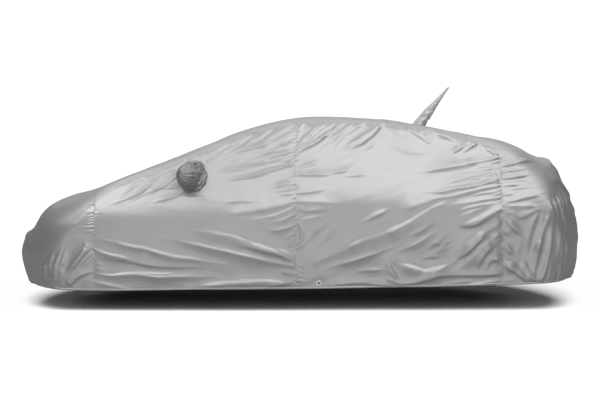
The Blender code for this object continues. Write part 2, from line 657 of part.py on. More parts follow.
def main():
    """Build the whole cover."""
    clear_scene()
    group, cutters = make_collection("car_cover"), make_collection("cutters")
    skin = Skin()
    panels = {}
    for name, quads in panel_quads(skin).items():
        cloth = make_material(name + "_cloth", CLOTH_COLOUR, 0.5)
        panels[name] = panel_object(name, skin, quads, group, cloth)
    for side, hand in (("left", -1), ("right", 1)):
        pouch_cloth = make_material("mirror_cloth_" + side, CLOTH_COLOUR, 0.55)
        make_mirror_pocket("mirror_pocket_" + side, hand, panels["front_side_" + side], group, cutters,
                           pouch_cloth)
        metal = make_material("eyelet_metal_" + side, METAL_COLOUR, 0.3, 1.0)
        make_grommet("grommet_" + side, hand, panels["grommet_patch_" + side], group, cutters, metal)
    sleeve_cloth = make_material("antenna_cloth", CLOTH_COLOUR, 0.55)
    make_antenna_pocket(panels["antenna_patch"], group, cutters, sleeve_cloth)


main()
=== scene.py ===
"""Looks of the fitted cover: draped panels, gathered pockets, eyelets, stitching and a plain studio.

Metres, +X to the tail, +Y to the right-hand side, +Z up. The origin is the point under the roof cloth that
carries the cover. Places and heights in the tables are real sizes, heights measured from the floor.
"""
import logging
import math
from dataclasses import dataclass
from enum import Enum

import bmesh
import bpy
import numpy as np
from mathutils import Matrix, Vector


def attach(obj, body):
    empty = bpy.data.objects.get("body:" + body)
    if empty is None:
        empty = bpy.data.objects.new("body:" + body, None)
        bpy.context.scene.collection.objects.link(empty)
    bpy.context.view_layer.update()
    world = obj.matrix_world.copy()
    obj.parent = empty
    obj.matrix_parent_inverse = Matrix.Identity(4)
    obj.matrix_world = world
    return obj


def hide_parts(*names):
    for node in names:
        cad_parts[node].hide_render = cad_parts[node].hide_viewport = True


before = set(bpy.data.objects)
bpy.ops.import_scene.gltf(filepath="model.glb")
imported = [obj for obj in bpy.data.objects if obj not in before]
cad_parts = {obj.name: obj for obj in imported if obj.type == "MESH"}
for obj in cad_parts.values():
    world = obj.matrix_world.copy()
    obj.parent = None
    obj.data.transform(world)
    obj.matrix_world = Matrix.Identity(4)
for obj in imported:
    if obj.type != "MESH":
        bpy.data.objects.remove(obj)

LOG = logging.getLogger("cover")
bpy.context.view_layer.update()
BODY = "root"

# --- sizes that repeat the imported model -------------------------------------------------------
ROOF_HEIGHT = 1.468       # height of the origin above the floor
FRONT_SEAM = -1.50        # places of the three upright seams
MIDDLE_SEAM = -0.030
REAR_SEAM = 1.480
CLOTH = 0.0016            # thickness drawn for the cloth; real coated taffeta is thinner

# outline over the centre line, from the hem at the nose to the hem at the tail: place, height
OUTLINE = (
    (-2.100, -0.300), (-2.105, 0.120), (-2.140, 0.215), (-2.164, 0.300), (-2.186, 0.385),
    (-2.197, 0.450), (-2.180, 0.510), (-2.148, 0.575), (-2.095, 0.622), (-2.070, 0.672),
    (-2.040, 0.722), (-1.972, 0.788), (-1.812, 0.862), (-1.615, 0.913), (-1.437, 0.979),
    (-1.232, 1.056), (-1.046, 1.128), (-0.775, 1.237), (-0.538, 1.337), (-0.403, 1.388),
    (-0.283, 1.423), (-0.158, 1.450), (-0.031, 1.470), (0.217, 1.480), (0.415, 1.476),
    (0.620, 1.459), (0.852, 1.428), (1.119, 1.380), (1.325, 1.335), (1.601, 1.288),
    (1.689, 1.258), (1.797, 1.207), (1.895, 1.168), (1.968, 1.157), (1.998, 1.120),
    (2.034, 1.076), (2.066, 0.980), (2.102, 0.895), (2.140, 0.805), (2.181, 0.691),
    (2.195, 0.590), (2.186, 0.470), (2.170, 0.358), (2.155, 0.265), (2.130, 0.200),
    (2.115, -0.300),
)
# half width at the belt along the cover: place, share of the half width
PLAN = (
    (-2.30, 0.90), (-1.90, 0.955), (-1.50, 0.985), (-1.00, 1.0), (0.60, 1.0), (1.30, 0.99),
    (1.70, 0.965), (2.00, 0.93), (2.30, 0.88),
)
# height of the belt, where the sides start to lean in: place, height
BELT = ((-2.30, 0.700), (-1.50, 0.712), (-0.75, 0.722), (-0.26, 0.768), (-0.03, 0.800), (0.60, 0.800),
        (1.30, 0.775), (2.30, 0.760))
# height of the hem's edge: place, height
HEM = ((-2.20, 0.186), (-1.50, 0.165), (-0.73, 0.174), (0.13, 0.180), (0.60, 0.188), (1.20, 0.199),
       (1.60, 0.211), (2.20, 0.208))
# how far the shoulder seam lies under the outline: place, drop
SEAM_DROP = ((-1.50, 0.125), (-1.38, 0.070), (-1.00, 0.058), (0.16, 0.052), (0.90, 0.058),
             (1.21, 0.076), (1.40, 0.104), (1.48, 0.112))
EYELET_PLACE = (0.137, 0.222)   # place and height of the eyelet's centre

# --- grid of the loft -------------------------------------------------------------------------
FRONT_CELLS = 168         # even cells between the dense rows of two seams
REAR_CELLS = 174
CORNER_CELLS = 62
SIDE_CELLS = 180
TOP_CELLS = 56
CORNER_RUN = 0.68         # length of the corner line from an end seam to the corner
# offsets of the dense rows from a seam and from the edge of the hem
SEAM_ROWS = (0.0, 0.0018, 0.004, 0.007, 0.011, 0.017, 0.025)
HEM_ROWS = (0.0, 0.0015, 0.004, 0.007, 0.010, 0.0125, 0.015, 0.018, 0.023, 0.030)
SEAM_MERGE = 0.016        # how far the folds of two panels run into each other at their seam
SEAM_STITCH_ROW = 3       # number of the dense row that carries a seam's stitches
HEM_STITCH_ROW = 6        # and the hem's
NOSE_FAN = (0.78, 0.82)   # slope in plan of the rays to the nose corner, at hem and at shoulder
TAIL_FAN = (0.76, 1.02)
TAIL_RISE = 1.98          # rise of the rays to the tail's upper corner
HEM_LIFT = 0.030          # how far the hem rises round the nose and the tail


class Crease(Enum):
    """How a fold's two flanks lean."""

    LIT = "short flank on top, catches the light as a thin bright line"
    SHADED = "short flank below, a thin dark line"
    SOFT = "even rounded ridge"
    DIP = "even rounded trough"


LIT, SHADED, SOFT, DIP = Crease
LONG_FLANK = 3.3          # length of the long flank for each length of the short one
LINE_SHIFT = 0.5          # how far the line of light lies off the crest, in short flanks
CREST = 0.30              # rounding of a fold's crest, in flanks
LOW_FOLDS = 1.9           # the hanging lower side has deeper folds than the stretched upper side
HIGH_FOLDS = 1.6
SEAM_HOLD = 0.50          # share of a fold's height that the stitches of a seam take away

# Folds, in millimetres: crease, width of the short flank, height, share of the height at its start and at
# its end, then the place and the height above the floor of each point of its line.
NOSE_FOLDS = (
    (SHADED, 12, 5, 0.9, 0.4, -1515, 480, -1575, 420, -1620, 360, -1665, 285, -1695, 235),
    (SHADED, 12, 4.5, 0.8, 0.3, -1545, 485, -1605, 420, -1655, 345, -1710, 285),
    (SHADED, 10, 4, 0.9, 0.2, -1510, 440, -1560, 385, -1605, 330),
    (SHADED, 9, 3, 0.9, 0.2, -1500, 410, -1545, 360, -1580, 315),
    (LIT, 14, 5.5, 0.7, 0.5, -1575, 470, -1620, 405, -1680, 340, -1725, 265),
    (LIT, 13, 5.5, 0.5, 0.5, -1590, 370, -1650, 300, -1710, 235),
    (LIT, 11, 8, 0.1, 0.5, -1815, 445, -1835, 375, -1840, 285),
    (LIT, 12, 8, 0.1, 0.5, -1745, 485, -1775, 405, -1800, 320, -1810, 240),
    (LIT, 9, 5.5, 0.1, 0.6, -1875, 385, -1880, 315, -1885, 240),
    (LIT, 10, 5, 0.1, 0.5, -1705, 490, -1735, 405, -1760, 300),
    (LIT, 9, 3, 0.1, 0.8, -1920, 370, -1920, 270),
    (SHADED, 11, 4, 0.1, 0.8, -1850, 400, -1860, 315, -1870, 225),
    (SHADED, 12, 5, 0.4, 0.9, -1510, 300, -1575, 280, -1630, 250, -1675, 205),
    (SHADED, 20, 6, 0.5, 0.9, -1755, 300, -1755, 240, -1740, 200),
    (LIT, 24, 5, 0.8, 0.2, -1505, 250, -1560, 235, -1615, 200),
)
FRONT_FOLDS = (
    (LIT, 11, 6, 0.7, 0.1, -1505, 480, -1435, 450, -1345, 425, -1200, 400),
    (LIT, 14, 7.6, 0.2, 0.1, -1515, 545, -1345, 530, -1250, 500, -1130, 480, -1020, 450, -910, 420, -800,
     410, -690, 390, -540, 370),
    (LIT, 14, 7, 0.1, 0.4, -995, 560, -875, 535, -705, 500, -620, 480, -475, 450, -290, 405, -145, 375,
     -50, 355),
    (LIT, 26, 7.5, 0.1, 0.5, -835, 630, -730, 615, -620, 595, -510, 575, -400, 535, -275, 490, -160, 455,
     -30, 385),
    (LIT, 10, 4, 0.2, 0.6, -165, 480, -100, 450, -45, 425),
    (SHADED, 16, 5, 0.1, 0.5, -435, 490, -290, 455, -145, 420, -50, 385),
    (SHADED, 18, 4, 0.2, 0.2, -1455, 395, -1240, 375, -1095, 345, -910, 330, -695, 330),
    (LIT, 15, 8.5, 0.4, 0.1, -1510, 300, -1385, 285, -1205, 295, -1060, 275, -875, 280, -730, 280, -625,
     280),
    (LIT, 11, 4.5, 0.1, 0.1, -1205, 310, -1055, 295, -840, 300),
    (LIT, 13, 7.5, 0.5, 0.2, -1505, 235, -1425, 220, -1330, 200, -1235, 185),
    (LIT, 22, 13, 0.1, 0.25, -820, 195, -655, 220, -440, 235, -255, 245, -110, 235, -30, 230),
    (SHADED, 12, 5, 0.1, 0.4, -275, 190, -145, 205, -50, 225),
    (LIT, 10, 4, 0.1, 0.9, -155, 315, -95, 310, -30, 295),
    (LIT, 9, 3, 0.9, 0.2, -1500, 375, -1430, 355),
    (LIT, 9, 3, 0.9, 0.2, -1500, 340, -1430, 315),
    (SHADED, 24, 6.5, 0.1, 1.0, -565, 705, -365, 725, -180, 760, -30, 805),
    (LIT, 13, 4.5, 0.1, 0.9, -435, 680, -255, 705, -145, 735, -30, 785),
    (LIT, 11, 4, 0.1, 0.9, -220, 665, -110, 695, -30, 740),
    (LIT, 12, 4.5, 0.1, 0.9, -245, 610, -125, 625, -30, 660),
    (LIT, 8, 3, 0.5, 0.9, -110, 550, -65, 580, -30, 615),
    (LIT, 8, 3, 0.5, 0.9, -95, 500, -65, 535, -30, 565),
    # upper side, leaning in
    (SHADED, 12, 4.6, 0.1, 0.5, -1390, 785, -1315, 810, -1205, 855, -1100, 920, -1030, 975, -965, 1020),
    (SHADED, 9, 3.4, 0.1, 0.4, -1335, 840, -1175, 935, -1045, 1020, -915, 1070),
    (SHADED, 12, 4.2, 0.1, 0.9, -1175, 835, -1060, 895, -990, 920, -940, 965, -900, 995),
    (SHADED, 14, 4.5, 0.2, 0.9, -1040, 900, -955, 910, -865, 905),
    (SHADED, 10, 4, 0.1, 0.3, -1085, 800, -985, 825, -850, 870),
    (SHADED, 13, 4.5, 0.8, 0.5, -1545, 785, -1490, 835, -1435, 900, -1375, 950),
    (SHADED, 9, 2.6, 0.3, 0.3, -1485, 850, -1415, 915),
    (SHADED, 12, 3.4, 0.2, 0.4, -1310, 960, -1180, 1010, -1035, 1070),
    (SHADED, 9, 3, 0.9, 0.1, -695, 1110, -595, 1160, -490, 1215),
    (SHADED, 9, 3, 0.2, 0.8, -670, 1145, -580, 1220, -465, 1305),
    (SHADED, 8, 2.8, 0.2, 0.9, -560, 1230, -500, 1290, -450, 1340),
    (SHADED, 10, 3.6, 0.2, 0.9, -485, 1245, -405, 1305, -315, 1365),
    (SHADED, 9, 3, 0.2, 0.9, -405, 1275, -315, 1350, -225, 1395),
    (SHADED, 10, 3.4, 0.2, 0.9, -330, 1265, -225, 1340, -120, 1405),
    (SHADED, 11, 4, 0.2, 0.9, -255, 1260, -150, 1325, -45, 1390),
    (SHADED, 13, 3.8, 0.2, 0.9, -625, 1120, -445, 1185, -285, 1220, -140, 1275, -30, 1320),
    (SHADED, 10, 3.6, 0.1, 0.9, -180, 1190, -90, 1220, -20, 1250),
    (SHADED, 11, 3.8, 0.2, 0.9, -325, 1115, -185, 1145, -30, 1185),
    (SHADED, 12, 2.8, 0.2, 0.2, -685, 1005, -515, 1035, -295, 1065, -120, 1100),
    (SHADED, 12, 5, 0.1, 0.9, -590, 950, -440, 980, -310, 1005, -205, 1040, -110, 1070, -20, 1085),
    (SHADED, 10, 3.6, 0.1, 0.9, -220, 905, -115, 930, -20, 950),
    (SHADED, 9, 3, 0.1, 0.9, -190, 880, -20, 900),
    (SHADED, 9, 3, 0.1, 0.9, -160, 855, -20, 865),
    (SHADED, 10, 2.6, 0.1, 0.1, -570, 800, -440, 810, -305, 810),
    (SHADED, 7, 2.6, 0.4, 0.6, -845, 1100, -830, 1130, -805, 1170),
    (SHADED, 7, 2.6, 0.4, 0.6, -810, 1115, -780, 1150, -750, 1200),
    (SHADED, 7, 2.6, 0.4, 0.6, -770, 1120, -745, 1170, -700, 1220),
    (LIT, 9, 3, 0.2, 0.5, -875, 855, -730, 850, -600, 825),
)
REAR_FOLDS = (
    (SHADED, 15, 7, 0.9, 0.8, -30, 1145, 20, 1190, 110, 1235, 185, 1290, 260, 1340, 325, 1390, 385, 1435),
    (LIT, 11, 4, 0.4, 0.9, -15, 1190, 15, 1275, 75, 1340, 165, 1420),
    (SHADED, 9, 3.4, 0.3, 0.8, 35, 1275, 135, 1340, 235, 1420),
    (SHADED, 9, 3.4, 0.4, 0.8, -15, 1265, 10, 1350, 45, 1420),
    (SHADED, 8, 2.8, 0.4, 0.8, 80, 1265, 195, 1350, 295, 1425),
    (LIT, 12, 4, 0.2, 0.9, 185, 1260, 300, 1335, 415, 1425),
    (SHADED, 13, 5, 0.2, 0.9, 285, 1265, 390, 1335, 465, 1380, 520, 1425),
    (LIT, 13, 5, 0.1, 0.9, 275, 1190, 375, 1250, 465, 1305, 565, 1375, 600, 1410),
    (SHADED, 14, 5.2, 0.1, 0.9, 355, 1190, 460, 1235, 540, 1295, 615, 1375, 660, 1410),
    (SHADED, 9, 2.6, 0.2, 0.2, 445, 1175, 535, 1220, 600, 1280),
    (SHADED, 13, 1.6, 0.3, 0.2, 530, 1065, 580, 1100, 610, 1160, 625, 1235, 630, 1340),
    (SHADED, 9, 3.4, 0.6, 0.6, 720, 1305, 750, 1350, 760, 1405),
    (SHADED, 13, 7, 0.7, 0.4, 775, 1395, 855, 1320, 910, 1275, 955, 1245),
    (SHADED, 11, 5.5, 0.6, 0.3, 825, 1405, 900, 1340, 980, 1280),
    (SHADED, 16, 7, 0.6, 0.3, 895, 1380, 1010, 1320, 1105, 1275, 1170, 1235),
    (SHADED, 12, 5.5, 0.2, 0.5, 1105, 1150, 1190, 1200, 1275, 1260),
    (SHADED, 11, 5, 0.2, 0.5, 1195, 1160, 1280, 1215, 1360, 1275),
    (SHADED, 10, 4.5, 0.5, 0.5, 1365, 1230, 1405, 1185, 1455, 1145),
    (LIT, 9, 2.4, 0.6, 0.5, 1385, 1235, 1420, 1200, 1465, 1170),
    (SHADED, 20, 6.5, 0.1, 0.8, 855, 1015, 960, 1030, 1070, 1050, 1200, 1070, 1335, 1100, 1460, 1120),
    (SHADED, 9, 3, 0.1, 0.8, 1060, 965, 1215, 1005, 1420, 1050),
    (SHADED, 14, 6.5, 0.1, 0.9, 895, 880, 1025, 875, 1135, 895, 1285, 920, 1450, 960),
    (SHADED, 13, 6, 0.2, 0.9, 995, 825, 1135, 850, 1280, 885, 1455, 920),
    (SHADED, 24, 5, 0.2, 0.6, 700, 720, 800, 755, 910, 790, 1020, 835),
    (SHADED, 12, 4, 0.9, 0.3, -30, 1005, 110, 1005, 235, 1005),
    (SHADED, 11, 3.6, 0.3, 0.3, 205, 1020, 330, 1035, 385, 1055),
    (SHADED, 12, 2.6, 0.2, 0.2, 295, 995, 405, 1000, 515, 1010),
    (SHADED, 11, 3.4, 0.9, 0.1, -30, 870, 90, 880, 200, 905),
    (SHADED, 9, 3, 0.9, 0.1, -30, 1050, 75, 1080, 180, 1120),
    (SOFT, 44, 4, 0.3, 0.3, 730, 1185, 815, 1145, 905, 1150),
    (SHADED, 10, 3.4, 0.1, 0.8, 1055, 920, 1250, 965, 1435, 1010),
    (SHADED, 10, 3, 0.1, 0.8, 1105, 785, 1300, 810, 1455, 840),
    (SHADED, 9, 3, 0.1, 0.8, 1255, 1035, 1455, 1070),
    (SHADED, 9, 3, 0.1, 0.8, 1240, 850, 1455, 885),
    (SHADED, 16, 4.5, 0.9, 0.2, -30, 805, 110, 800, 290, 790),
    (SHADED, 14, 4.5, 0.9, 0.2, -30, 745, 75, 740, 235, 755),
    # lower side
    (LIT, 25, 8, 0.3, 0.35, 115, 390, 255, 455, 365, 505, 510, 560, 655, 610, 765, 660, 850, 710, 945, 770,
     1020, 805),
    (LIT, 20, 3.6, 0.1, 0.1, 335, 630, 435, 675, 545, 725, 670, 785),
    (LIT, 12, 2.6, 0.2, 0.2, 540, 640, 605, 680, 675, 725),
    (SHADED, 11, 3, 0.2, 0.2, 480, 665, 565, 710, 640, 745),
    (LIT, 9, 4.6, 0.1, 0.3, 780, 560, 875, 615, 970, 670),
    (LIT, 12, 4.8, 0.1, 0.2, 705, 460, 815, 505, 910, 560, 995, 615),
    (LIT, 12, 5, 0.1, 0.1, 190, 340, 365, 390, 510, 435, 655, 485),
    (LIT, 9, 5.6, 0.2, 0.2, 425, 315, 525, 325, 635, 325),
    (LIT, 9, 3.2, 0.1, 0.1, 155, 530, 220, 595, 270, 655),
    (LIT, 11, 3.2, 0.1, 0.1, 30, 530, 130, 625, 270, 725),
    (LIT, 12, 4, 0.6, 0.1, -30, 680, 35, 695, 175, 725),
    (SHADED, 9, 5, 0.7, 0.7, -15, 655, 5, 595, -10, 515),
    (LIT, 8, 3.6, 0.9, 0.2, -30, 485, 30, 515),
    (LIT, 8, 3.8, 0.9, 0.2, -30, 370, 30, 340),
    (LIT, 8, 4, 0.9, 0.2, -30, 335, 35, 300),
    (LIT, 8, 4, 0.9, 0.2, -30, 300, 45, 265),
    (LIT, 8, 3.8, 0.9, 0.2, -30, 250, 50, 235),
    (LIT, 28, 13, 0.4, 0.3, 685, 405, 750, 370, 840, 340, 920, 315, 1015, 340, 1100, 385),
    (LIT, 14, 8, 0.6, 0.3, 650, 360, 680, 310, 720, 265),
    (SHADED, 14, 6.5, 0.6, 0.9, 275, 205, 440, 215, 585, 200, 695, 205, 820, 215, 910, 235, 1000, 265,
     1165, 270, 1350, 275, 1495, 280),
    (SHADED, 9, 4, 0.5, 0.5, 635, 240, 715, 220),
    (LIT, 14, 4.6, 0.1, 0.4, 1180, 655, 1295, 690, 1380, 735, 1465, 770),
    (SHADED, 22, 7, 0.1, 0.7, 1105, 645, 1210, 630, 1295, 645, 1370, 690, 1460, 740),
    (LIT, 9, 3.4, 0.3, 0.3, 1130, 705, 1220, 735, 1325, 770),
    (LIT, 9, 3.4, 0.3, 0.3, 1165, 760, 1265, 785, 1415, 810),
    (LIT, 46, 6.5, 0.0, 0.3, 1080, 370, 1200, 490, 1295, 580, 1380, 640, 1460, 710),
    (SHADED, 22, 8, 0.1, 0.5, 1135, 375, 1225, 440, 1310, 530, 1380, 595, 1460, 645),
    (LIT, 24, 6.5, 0.1, 0.35, 1100, 310, 1200, 375, 1295, 465, 1370, 535, 1460, 610),
    (SHADED, 18, 6.5, 0.2, 0.5, 1300, 310, 1325, 390, 1385, 465, 1465, 530),
    (LIT, 24, 4.5, 0.2, 0.4, 1355, 410, 1405, 425, 1465, 425),
    (SHADED, 14, 5, 0.5, 0.9, 1370, 330, 1390, 375, 1435, 385, 1480, 345),
    (LIT, 12, 3, 0.3, 0.5, 1400, 470, 1470, 485),
    (SHADED, 8, 3, 0.5, 0.5, 1420, 600, 1460, 625),
    (SHADED, 9, 3, 0.5, 0.5, 1410, 550, 1465, 565),
    (LIT, 10, 2.6, 0.3, 0.4, 945, 505, 1005, 535, 1050, 585),
    (SHADED, 12, 2.4, 0.4, 0.4, 955, 485, 990, 505, 1025, 485),
    (LIT, 10, 2.6, 0.4, 0.4, 960, 450, 1020, 480, 1070, 530),
    (SHADED, 10, 2.4, 0.4, 0.4, 905, 395, 960, 410, 1020, 405),
    (LIT, 10, 5.5, 0.5, 0.2, 1240, 215, 1385, 235, 1495, 250),
    (LIT, 9, 5, 0.3, 0.3, 1020, 215, 1130, 230, 1240, 245),
)
TAIL_FOLDS = (
    (SHADED, 12, 5.5, 0.9, 0.2, 1455, 1055, 1555, 1080, 1645, 1100, 1750, 1115),
    (SHADED, 10, 3.2, 0.9, 0.1, 1455, 1020, 1570, 1035, 1685, 1045),
    (SHADED, 11, 4.5, 0.9, 0.1, 1455, 975, 1585, 985, 1695, 1005),
    (SHADED, 8, 3, 0.9, 0.1, 1460, 930, 1615, 930),
    (SHADED, 8, 3, 0.9, 0.1, 1455, 855, 1575, 865),
    (SHADED, 12, 4.6, 0.9, 0.1, 1450, 815, 1545, 810, 1645, 835, 1775, 855),
    (SHADED, 13, 5, 0.9, 0.1, 1455, 775, 1600, 770, 1735, 770),
    (SHADED, 18, 5.5, 0.9, 0.4, 1470, 745, 1530, 720, 1600, 690, 1660, 705, 1735, 745),
    (LIT, 24, 5, 0.5, 0.2, 1470, 740, 1515, 690, 1555, 645, 1610, 615, 1660, 640, 1695, 695, 1735, 755),
    (SHADED, 16, 6, 0.5, 0.2, 1470, 705, 1515, 655, 1565, 600, 1615, 560),
    (LIT, 9, 4, 0.5, 0.2, 1470, 640, 1520, 585),
    (SHADED, 8, 4, 0.5, 0.2, 1470, 610, 1515, 560),
    (LIT, 14, 4, 0.6, 0.1, 1470, 535, 1515, 490, 1560, 440),
    (SHADED, 9, 4, 0.9, 0.3, 1470, 490, 1515, 455, 1550, 405),
    (LIT, 18, 5.5, 0.6, 0.2, 1470, 420, 1530, 375, 1605, 330),
    (SHADED, 16, 8, 0.5, 0.9, 1465, 360, 1515, 325, 1590, 280, 1650, 235),
    (LIT, 12, 5, 0.9, 0.6, 1475, 235, 1545, 250, 1620, 230),
    (SHADED, 10, 5, 0.5, 0.9, 1655, 310, 1680, 265, 1705, 230),
    (LIT, 10, 3, 0.3, 0.3, 1625, 380, 1655, 355, 1665, 315),
    (LIT, 14, 3, 0.05, 0.4, 1765, 745, 1750, 675, 1730, 585),
    (LIT, 17, 4, 0.05, 0.4, 1825, 770, 1805, 705, 1780, 645, 1760, 585),
    (SHADED, 15, 8.5, 0.3, 0.5, 1825, 675, 1790, 615, 1760, 535, 1750, 455, 1730, 345, 1720, 250),
    (SHADED, 13, 8, 0.2, 0.8, 1855, 665, 1840, 535, 1825, 425, 1805, 330, 1780, 235),
    (LIT, 14, 4.5, 0.3, 0.4, 1835, 550, 1810, 410, 1770, 315, 1740, 235),
    (SHADED, 10, 6, 0.3, 0.9, 1800, 330, 1785, 280, 1755, 235),
    (SHADED, 17, 6, 0.4, 0.3, 1740, 710, 1700, 625, 1675, 530, 1670, 465),
    (LIT, 14, 6, 0.3, 0.2, 1760, 580, 1730, 505, 1690, 440),
    (SHADED, 8, 6, 0.3, 0.3, 1915, 900, 1935, 810, 1955, 725),
    (SHADED, 8, 6.5, 0.4, 0.4, 1935, 930, 1975, 835, 1995, 745),
    (LIT, 7, 5, 0.3, 0.3, 1910, 855, 1935, 770),
    (SHADED, 10, 5, 0.3, 0.3, 1945, 550, 1965, 460, 1980, 355),
    (SHADED, 9, 4, 0.3, 0.3, 1905, 490, 1920, 350),
    (LIT, 10, 4, 0.2, 0.4, 1880, 665, 1890, 495, 1875, 375),
    (SHADED, 9, 4, 0.3, 0.6, 1850, 375, 1830, 240),
    (LIT, 7, 6, 0.2, 0.4, 1910, 635, 1925, 535, 1930, 400),
    (LIT, 8, 7, 0.2, 0.5, 1950, 590, 1965, 490, 1960, 310),
    (SHADED, 8, 7, 0.2, 0.3, 1895, 840, 1925, 740, 1960, 635),
    (LIT, 7, 6, 0.2, 0.3, 1875, 855, 1890, 770, 1910, 690),
    (LIT, 8, 5, 0.2, 0.3, 1820, 855, 1845, 785, 1865, 710),
    (SHADED, 9, 5, 0.1, 0.5, 1885, 330, 1870, 270, 1855, 225),
    (LIT, 10, 6, 0.1, 0.5, 1915, 370, 1905, 300, 1895, 230),
)
# the same across the top: place, place across
TOP_FOLDS = (
    (SOFT, 40, 5, 0.3, 0.1, -1450, -550, -1000, -420, -600, -200),
    (SOFT, 42, 5, 0.3, 0.1, -1450, 500, -1050, 400, -550, 220),
    (SOFT, 30, 4, 0.6, 0.1, -800, -660, -550, -400, -400, -50),
    (SOFT, 30, 4, 0.6, 0.1, -800, 660, -600, 380, -380, 100),
    (DIP, 34, 5, 0.1, 0.1, -1300, 100, -950, 30, -650, -40),
    (SOFT, 26, 5, 0.9, 0.1, 900, -60, 700, -250, 550, -450),
    (SOFT, 24, 5, 0.9, 0.1, 900, 60, 720, 240, 600, 480),
    (SOFT, 24, 5, 0.9, 0.1, 1010, -40, 1200, -220, 1400, -480),
    (SOFT, 24, 5, 0.9, 0.1, 1010, 40, 1220, 200, 1420, 440),
    (SOFT, 34, 4, 0.1, 0.1, -50, -300, 300, -100, 620, 60),
    (SOFT, 36, 6, 0.2, 0.5, 1300, -250, 1600, -300, 1900, -420),
    (SOFT, 36, 6, 0.2, 0.5, 1320, 220, 1620, 300, 1920, 400),
    (DIP, 38, 6, 0.2, 0.4, 1250, 20, 1600, 0, 1930, 50),
)
# and on the nose's and the tail's own faces: place across, height
NOSE_FACE_FOLDS = (
    (SOFT, 26, 8, 0.7, 0.1, -550, 210, -520, 420),
    (SOFT, 30, 9, 0.7, 0.1, -400, 210, -420, 500),
    (SOFT, 24, 7, 0.7, 0.1, -240, 210, -250, 400),
    (SOFT, 28, 8, 0.7, 0.1, -80, 210, -50, 440),
    (SOFT, 24, 7, 0.7, 0.1, 100, 210, 120, 380),
    (SOFT, 30, 9, 0.7, 0.1, 270, 210, 300, 500),
    (SOFT, 25, 8, 0.7, 0.1, 450, 210, 440, 420),
    (SOFT, 46, 7, 0.2, 0.2, -620, 600, -200, 550, 250, 560, 640, 610),
)
TAIL_FACE_FOLDS = (
    (SOFT, 30, 12, 0.8, 0.1, -580, 250, -600, 550, -640, 800),
    (SOFT, 26, 10, 0.8, 0.1, -420, 250, -460, 500),
    (SOFT, 34, 11, 0.8, 0.1, -250, 250, -220, 600),
    (SOFT, 26, 8, 0.8, 0.1, -70, 250, -80, 460),
    (SOFT, 32, 10, 0.8, 0.1, 120, 250, 100, 580),
    (SOFT, 26, 9, 0.8, 0.1, 300, 250, 340, 480),
    (SOFT, 32, 12, 0.8, 0.1, 480, 250, 520, 560, 600, 820),
    (SHADED, 30, 11, 0.6, 0.6, -620, 960, -250, 840, 220, 830, 620, 970),
    (SHADED, 26, 8, 0.4, 0.4, -500, 800, -100, 700, 420, 760),
)


# --- lines and noise --------------------------------------------------------------------------
def smooth_rows(rows: tuple | np.ndarray, at: np.ndarray) -> np.ndarray:
    """Read a smooth line through rows of (place, value).

    Args:
        rows: The line's points, with rising places.
        at: Places to read.

    Returns:
        The value at each place.
    """
    table = np.array(rows, dtype=float)
    place, value = table[:, 0], table[:, 1]
    slope = np.gradient(value, place)
    at = np.clip(at, place[0], place[-1])
    k = np.clip(np.searchsorted(place, at, side="right") - 1, 0, len(place) - 2)
    span = place[k + 1] - place[k]
    t = (at - place[k]) / span
    return ((2 * t**3 - 3 * t**2 + 1) * value[k] + (t**3 - 2 * t**2 + t) * span * slope[k]
            + (3 * t**2 - 2 * t**3) * value[k + 1] + (t**3 - t**2) * span * slope[k + 1])


def run_along(points: np.ndarray) -> np.ndarray:
    """Length of the way from the first point of a flat line to each of its points."""
    return np.concatenate([[0], np.cumsum(np.hypot(*np.diff(points, axis=0).T))])


def smooth_columns(run: np.ndarray, columns: np.ndarray, at: np.ndarray) -> list[np.ndarray]:
    """Read each column of a table as a smooth line over its run."""
    return [smooth_rows(np.stack([run, column], axis=1), at) for column in columns.T]


def step_up(value: np.ndarray, low: float, high: float) -> np.ndarray:
    """Smooth step from 0 at low to 1 at high."""
    t = np.clip((value - low) / (high - low), 0, 1)
    return t * t * (3 - 2 * t)


def lattice(i: np.ndarray, j: np.ndarray, seed: int) -> np.ndarray:
    """Repeatable random number from -1 to 1 for each pair of whole numbers."""
    mixed = (i.astype(np.int64) * 374761393 + j.astype(np.int64) * 668265263 + seed * 974634777) & 0xFFFFFFFF
    mixed = ((mixed ^ (mixed >> 13)) * 1274126177) & 0xFFFFFFFF
    return ((mixed ^ (mixed >> 16)) & 0xFFFFFF) / 8388607.5 - 1


def soft_noise(u: np.ndarray, v: np.ndarray, seed: int) -> np.ndarray:
    """Smooth noise from -1 to 1 with one lump for each unit of u and v.

    Args:
        u: First coordinate, in lumps.
        v: Second coordinate, in lumps.
        seed: Picks the pattern.

    Returns:
        The noise at each point.
    """
    i, j = np.floor(u), np.floor(v)
    fu, fv = u - i, v - j
    fu, fv = fu**3 * (fu * (6 * fu - 15) + 10), fv**3 * (fv * (6 * fv - 15) + 10)
    near = lattice(i, j, seed) * (1 - fu) + lattice(i + 1, j, seed) * fu
    far = lattice(i, j + 1, seed) * (1 - fu) + lattice(i + 1, j + 1, seed) * fu
    return near * (1 - fv) + far * fv


